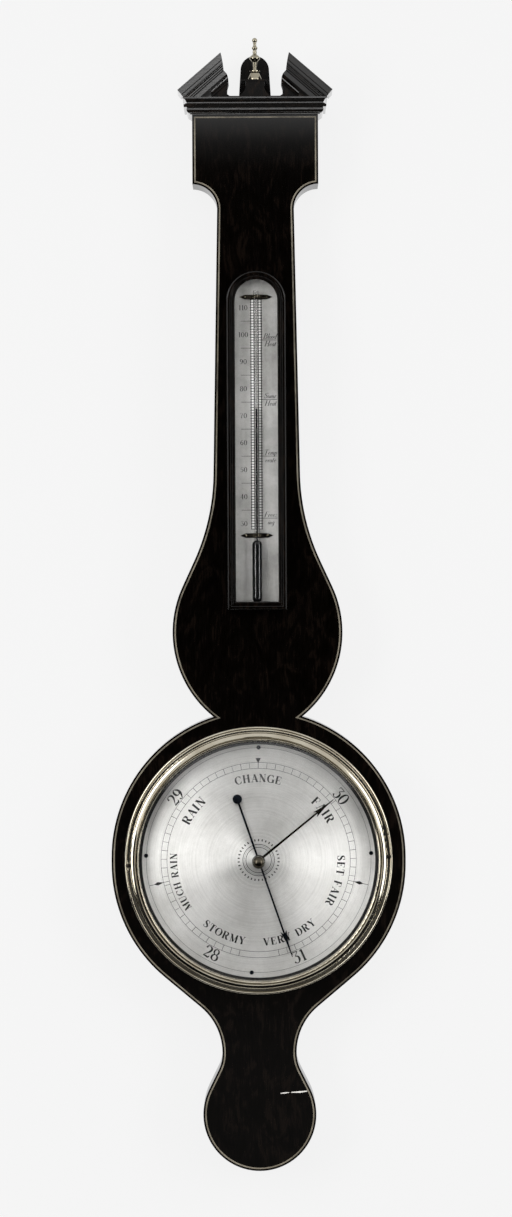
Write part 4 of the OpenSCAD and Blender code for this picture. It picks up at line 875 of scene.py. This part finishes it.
def shade_turned(name, centre, axis):
    """Shades a turned piece as the lathe leaves it: round about its axis, and creased only where its
    profile turns sharply. axis is 0, 1 or 2 for X, Y or Z."""
    mesh = nodes[name].data
    mesh.polygons.foreach_set("use_smooth", [True] * len(mesh.polygons))

    def outward(point):
        out = point - centre
        out[axis] = 0
        return out

    def profile_point(point):
        return round(outward(point).length, POINT_DIGITS), round(point[axis], POINT_DIGITS)

    slopes = []
    met = {}
    for face in mesh.polygons:
        out = outward(face.center).normalized()
        slope = Vector((face.normal.dot(out), face.normal[axis]))
        slopes.append(slope)
        for i in face.vertices:
            sides = met.setdefault(profile_point(mesh.vertices[i].co), {})
            key = (round(slope.x, SLOPE_DIGITS), round(slope.y, SLOPE_DIGITS))
            sides[key] = sides.get(key, 0) + face.area
    normals = [None] * len(mesh.loops)
    for face, slope in zip(mesh.polygons, slopes):
        for corner, i in zip(face.loop_indices, face.vertices):
            point = mesh.vertices[i].co
            out = outward(point).normalized()
            on_axis = out.length < 0.5
            normals[corner] = face.normal.copy()
            if slope.length < TURNED_SLOPE or on_axis:
                continue
            blend = Vector((0, 0))
            for key, area in met[profile_point(point)].items():
                side = Vector(key)
                turned = side.length > TURNED_SLOPE
                if turned and side.normalized().dot(slope.normalized()) > TURNED_CREASE:
                    blend += side * area
            if blend.length == 0:
                continue
            blend.normalize()
            normals[corner] = out * blend.x
            normals[corner][axis] = blend.y
    mesh.normals_split_custom_set(normals)


shade_turned("bezel", Vector((0, 0, DIAL_Z)), 1)
finial_low, finial_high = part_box("finial")
shade_turned("finial", (finial_low + finial_high) / 2, 2)


# Stage: a pale wall behind the case, a floor below, two tall soft lamps in front and one behind
WALL_GAP = 1.5 * MM
WALL_HALF = 4
WALL_TOP = 3
WALL_PAINT = "#f5f5f5"
# Part of the wall's light that is its own glow
GLOW_SHARE = 0.93
FLOOR_Z = -2.6
FLOOR_DEEP = 0.5
VIEW_Z = DIAL_Z + (DIAL_ROW - PHOTO_H / 2) * MM_PER_PIXEL * MM


def flat_sheet(name, corners, material):
    """A four-cornered sheet of the stage."""
    mesh = bpy.data.meshes.new(name)
    mesh.from_pydata(corners, [], [(0, 1, 2, 3)])
    mesh.materials.append(material)
    sheet = bpy.data.objects.new(name, mesh)
    bpy.context.scene.collection.objects.link(sheet)


def painted_plaster():
    """Matt white plaster with a glow of its own for the eye and for mirrors, so that shadows stay
    faint. It lets through what comes from behind, so the back can be lit and seen."""
    made, tree = new_material("painted_plaster")
    paint = add(tree, "BsdfDiffuse", {"Color": hex_colour(WALL_PAINT)})
    glow = add(tree, "Emission", {"Color": hex_colour(WALL_PAINT), "Strength": 1.0})
    plaster = add(tree, "MixShader", {0: GLOW_SHARE, 1: paint.outputs[0], 2: glow.outputs[0]})
    clear = add(tree, "BsdfTransparent")
    rays = add(tree, "LightPath").outputs
    behind = add(tree, "NewGeometry").outputs["Backfacing"]
    soft = add(tree, "Math", {0: rays["Is Shadow Ray"], 1: rays["Is Diffuse Ray"]}, operation="MAXIMUM")
    open_side = add(tree, "Math", {0: soft.outputs[0], 1: behind}, operation="MAXIMUM")
    wall = add(tree, "MixShader", {0: open_side.outputs[0], 1: plaster.outputs[0], 2: clear.outputs[0]})
    add(tree, "OutputMaterial", {"Surface": wall.outputs[0]})
    return made


def pale_floor():
    """Plain matt paint."""
    made, tree = new_material("pale_floor")
    paint = add(tree, "BsdfDiffuse", {"Color": hex_colour("#d6d6d4")})
    add(tree, "OutputMaterial", {"Surface": paint.outputs[0]})
    return made


wall_y = cad_high.y + WALL_GAP
front_y = wall_y - FLOOR_DEEP
wall_corners = [
    (-WALL_HALF, wall_y, FLOOR_Z), (WALL_HALF, wall_y, FLOOR_Z),
    (WALL_HALF, wall_y, WALL_TOP), (-WALL_HALF, wall_y, WALL_TOP),
]
floor_corners = [
    (-WALL_HALF, front_y, FLOOR_Z), (WALL_HALF, front_y, FLOOR_Z),
    (WALL_HALF, wall_y, FLOOR_Z), (-WALL_HALF, wall_y, FLOOR_Z),
]
flat_sheet("wall", wall_corners, painted_plaster())
flat_sheet("floor", floor_corners, pale_floor())


def soft_lamp(name, place, width, height, watts):
    """A broad lamp aimed at the middle of the view."""
    light = bpy.data.lights.new(name, "AREA")
    light.shape = "RECTANGLE"
    light.size = width
    light.size_y = height
    light.energy = watts
    lamp = bpy.data.objects.new(name, light)
    lamp.location = place
    aim = Vector((0, 0, VIEW_Z)) - Vector(place)
    lamp.rotation_euler = aim.to_track_quat("-Z", "Y").to_euler()
    bpy.context.scene.collection.objects.link(lamp)


soft_lamp("lamp_left", (-1.1, -1.2, VIEW_Z + 0.15), 0.5, 1.5, 13)
soft_lamp("lamp_right", (1.3, -1.0, VIEW_Z + 0.05), 0.5, 1.5, 12)
soft_lamp("lamp_behind", (0.9, 1.6, VIEW_Z + 0.5), 1.2, 1.6, 16)

# The room is dark at eye level and pale above, as polish and metal show it; its shade goes by the
# upward part of a direction, from -1 to 1
ROOM = [
    (-1, "#101010"), (-0.3, "#202020"), (-0.2, "#4a4a4a"), (-0.13, "#4a4a4a"), (-0.11, "#303030"),
    (-0.02, "#090909"), (0.12, "#090909"), (0.133, "#1e1e1e"), (0.14, "#505050"), (0.148, "#d6d6d6"),
    (0.16, "#ffffff"), (0.33, "#ffffff"), (0.4, "#d0d0d0"), (1, "#d0d0d0"),
]
ROOM_STRENGTH = 1.6
world = bpy.data.worlds.new("studio")
bpy.context.scene.world = world
world.use_nodes = True
surround = world.node_tree
surround.nodes.clear()
facing = add(surround, "TexCoord").outputs["Generated"]
upward = add(surround, "SeparateXYZ", {0: facing}).outputs["Z"]
level = add(surround, "Math", {0: upward, 1: 0.5, 2: 0.5}, operation="MULTIPLY_ADD")
shades = [(0.5 + 0.5 * z, code) for z, code in ROOM]
room = add(surround, "ValToRGB", {"Fac": level.outputs[0]}, shades)
air = add(surround, "Background", {"Color": room.outputs["Color"], "Strength": ROOM_STRENGTH})
backdrop = add(surround, "Background", {"Color": hex_colour(WALL_PAINT), "Strength": 1.0})
seen = add(surround, "LightPath").outputs["Is Camera Ray"]
both = add(surround, "MixShader", {0: seen, 1: air.outputs[0], 2: backdrop.outputs[0]})
add(surround, "OutputWorld", {"Surface": both.outputs[0]})

# Camera: square on to the case, rolled a little as the photograph is
DISTANCE = 2.8
SENSOR = 36.0
ROLL = math.radians(0.28)
CAMERA_X = -1.2 * MM
FRAME_HIGH = PHOTO_H * MM_PER_PIXEL * MM
camera_data = bpy.data.cameras.new("camera")
camera_data.sensor_width = SENSOR
camera_data.lens = SENSOR * DISTANCE / FRAME_HIGH
camera = bpy.data.objects.new("camera", camera_data)
camera.location = (CAMERA_X, CASE_FRONT - DISTANCE, VIEW_Z)
camera.rotation_euler = (math.radians(90), ROLL, 0)
bpy.context.scene.collection.objects.link(camera)
bpy.context.scene.camera = camera
bpy.context.scene.view_settings.view_transform = "Standard"
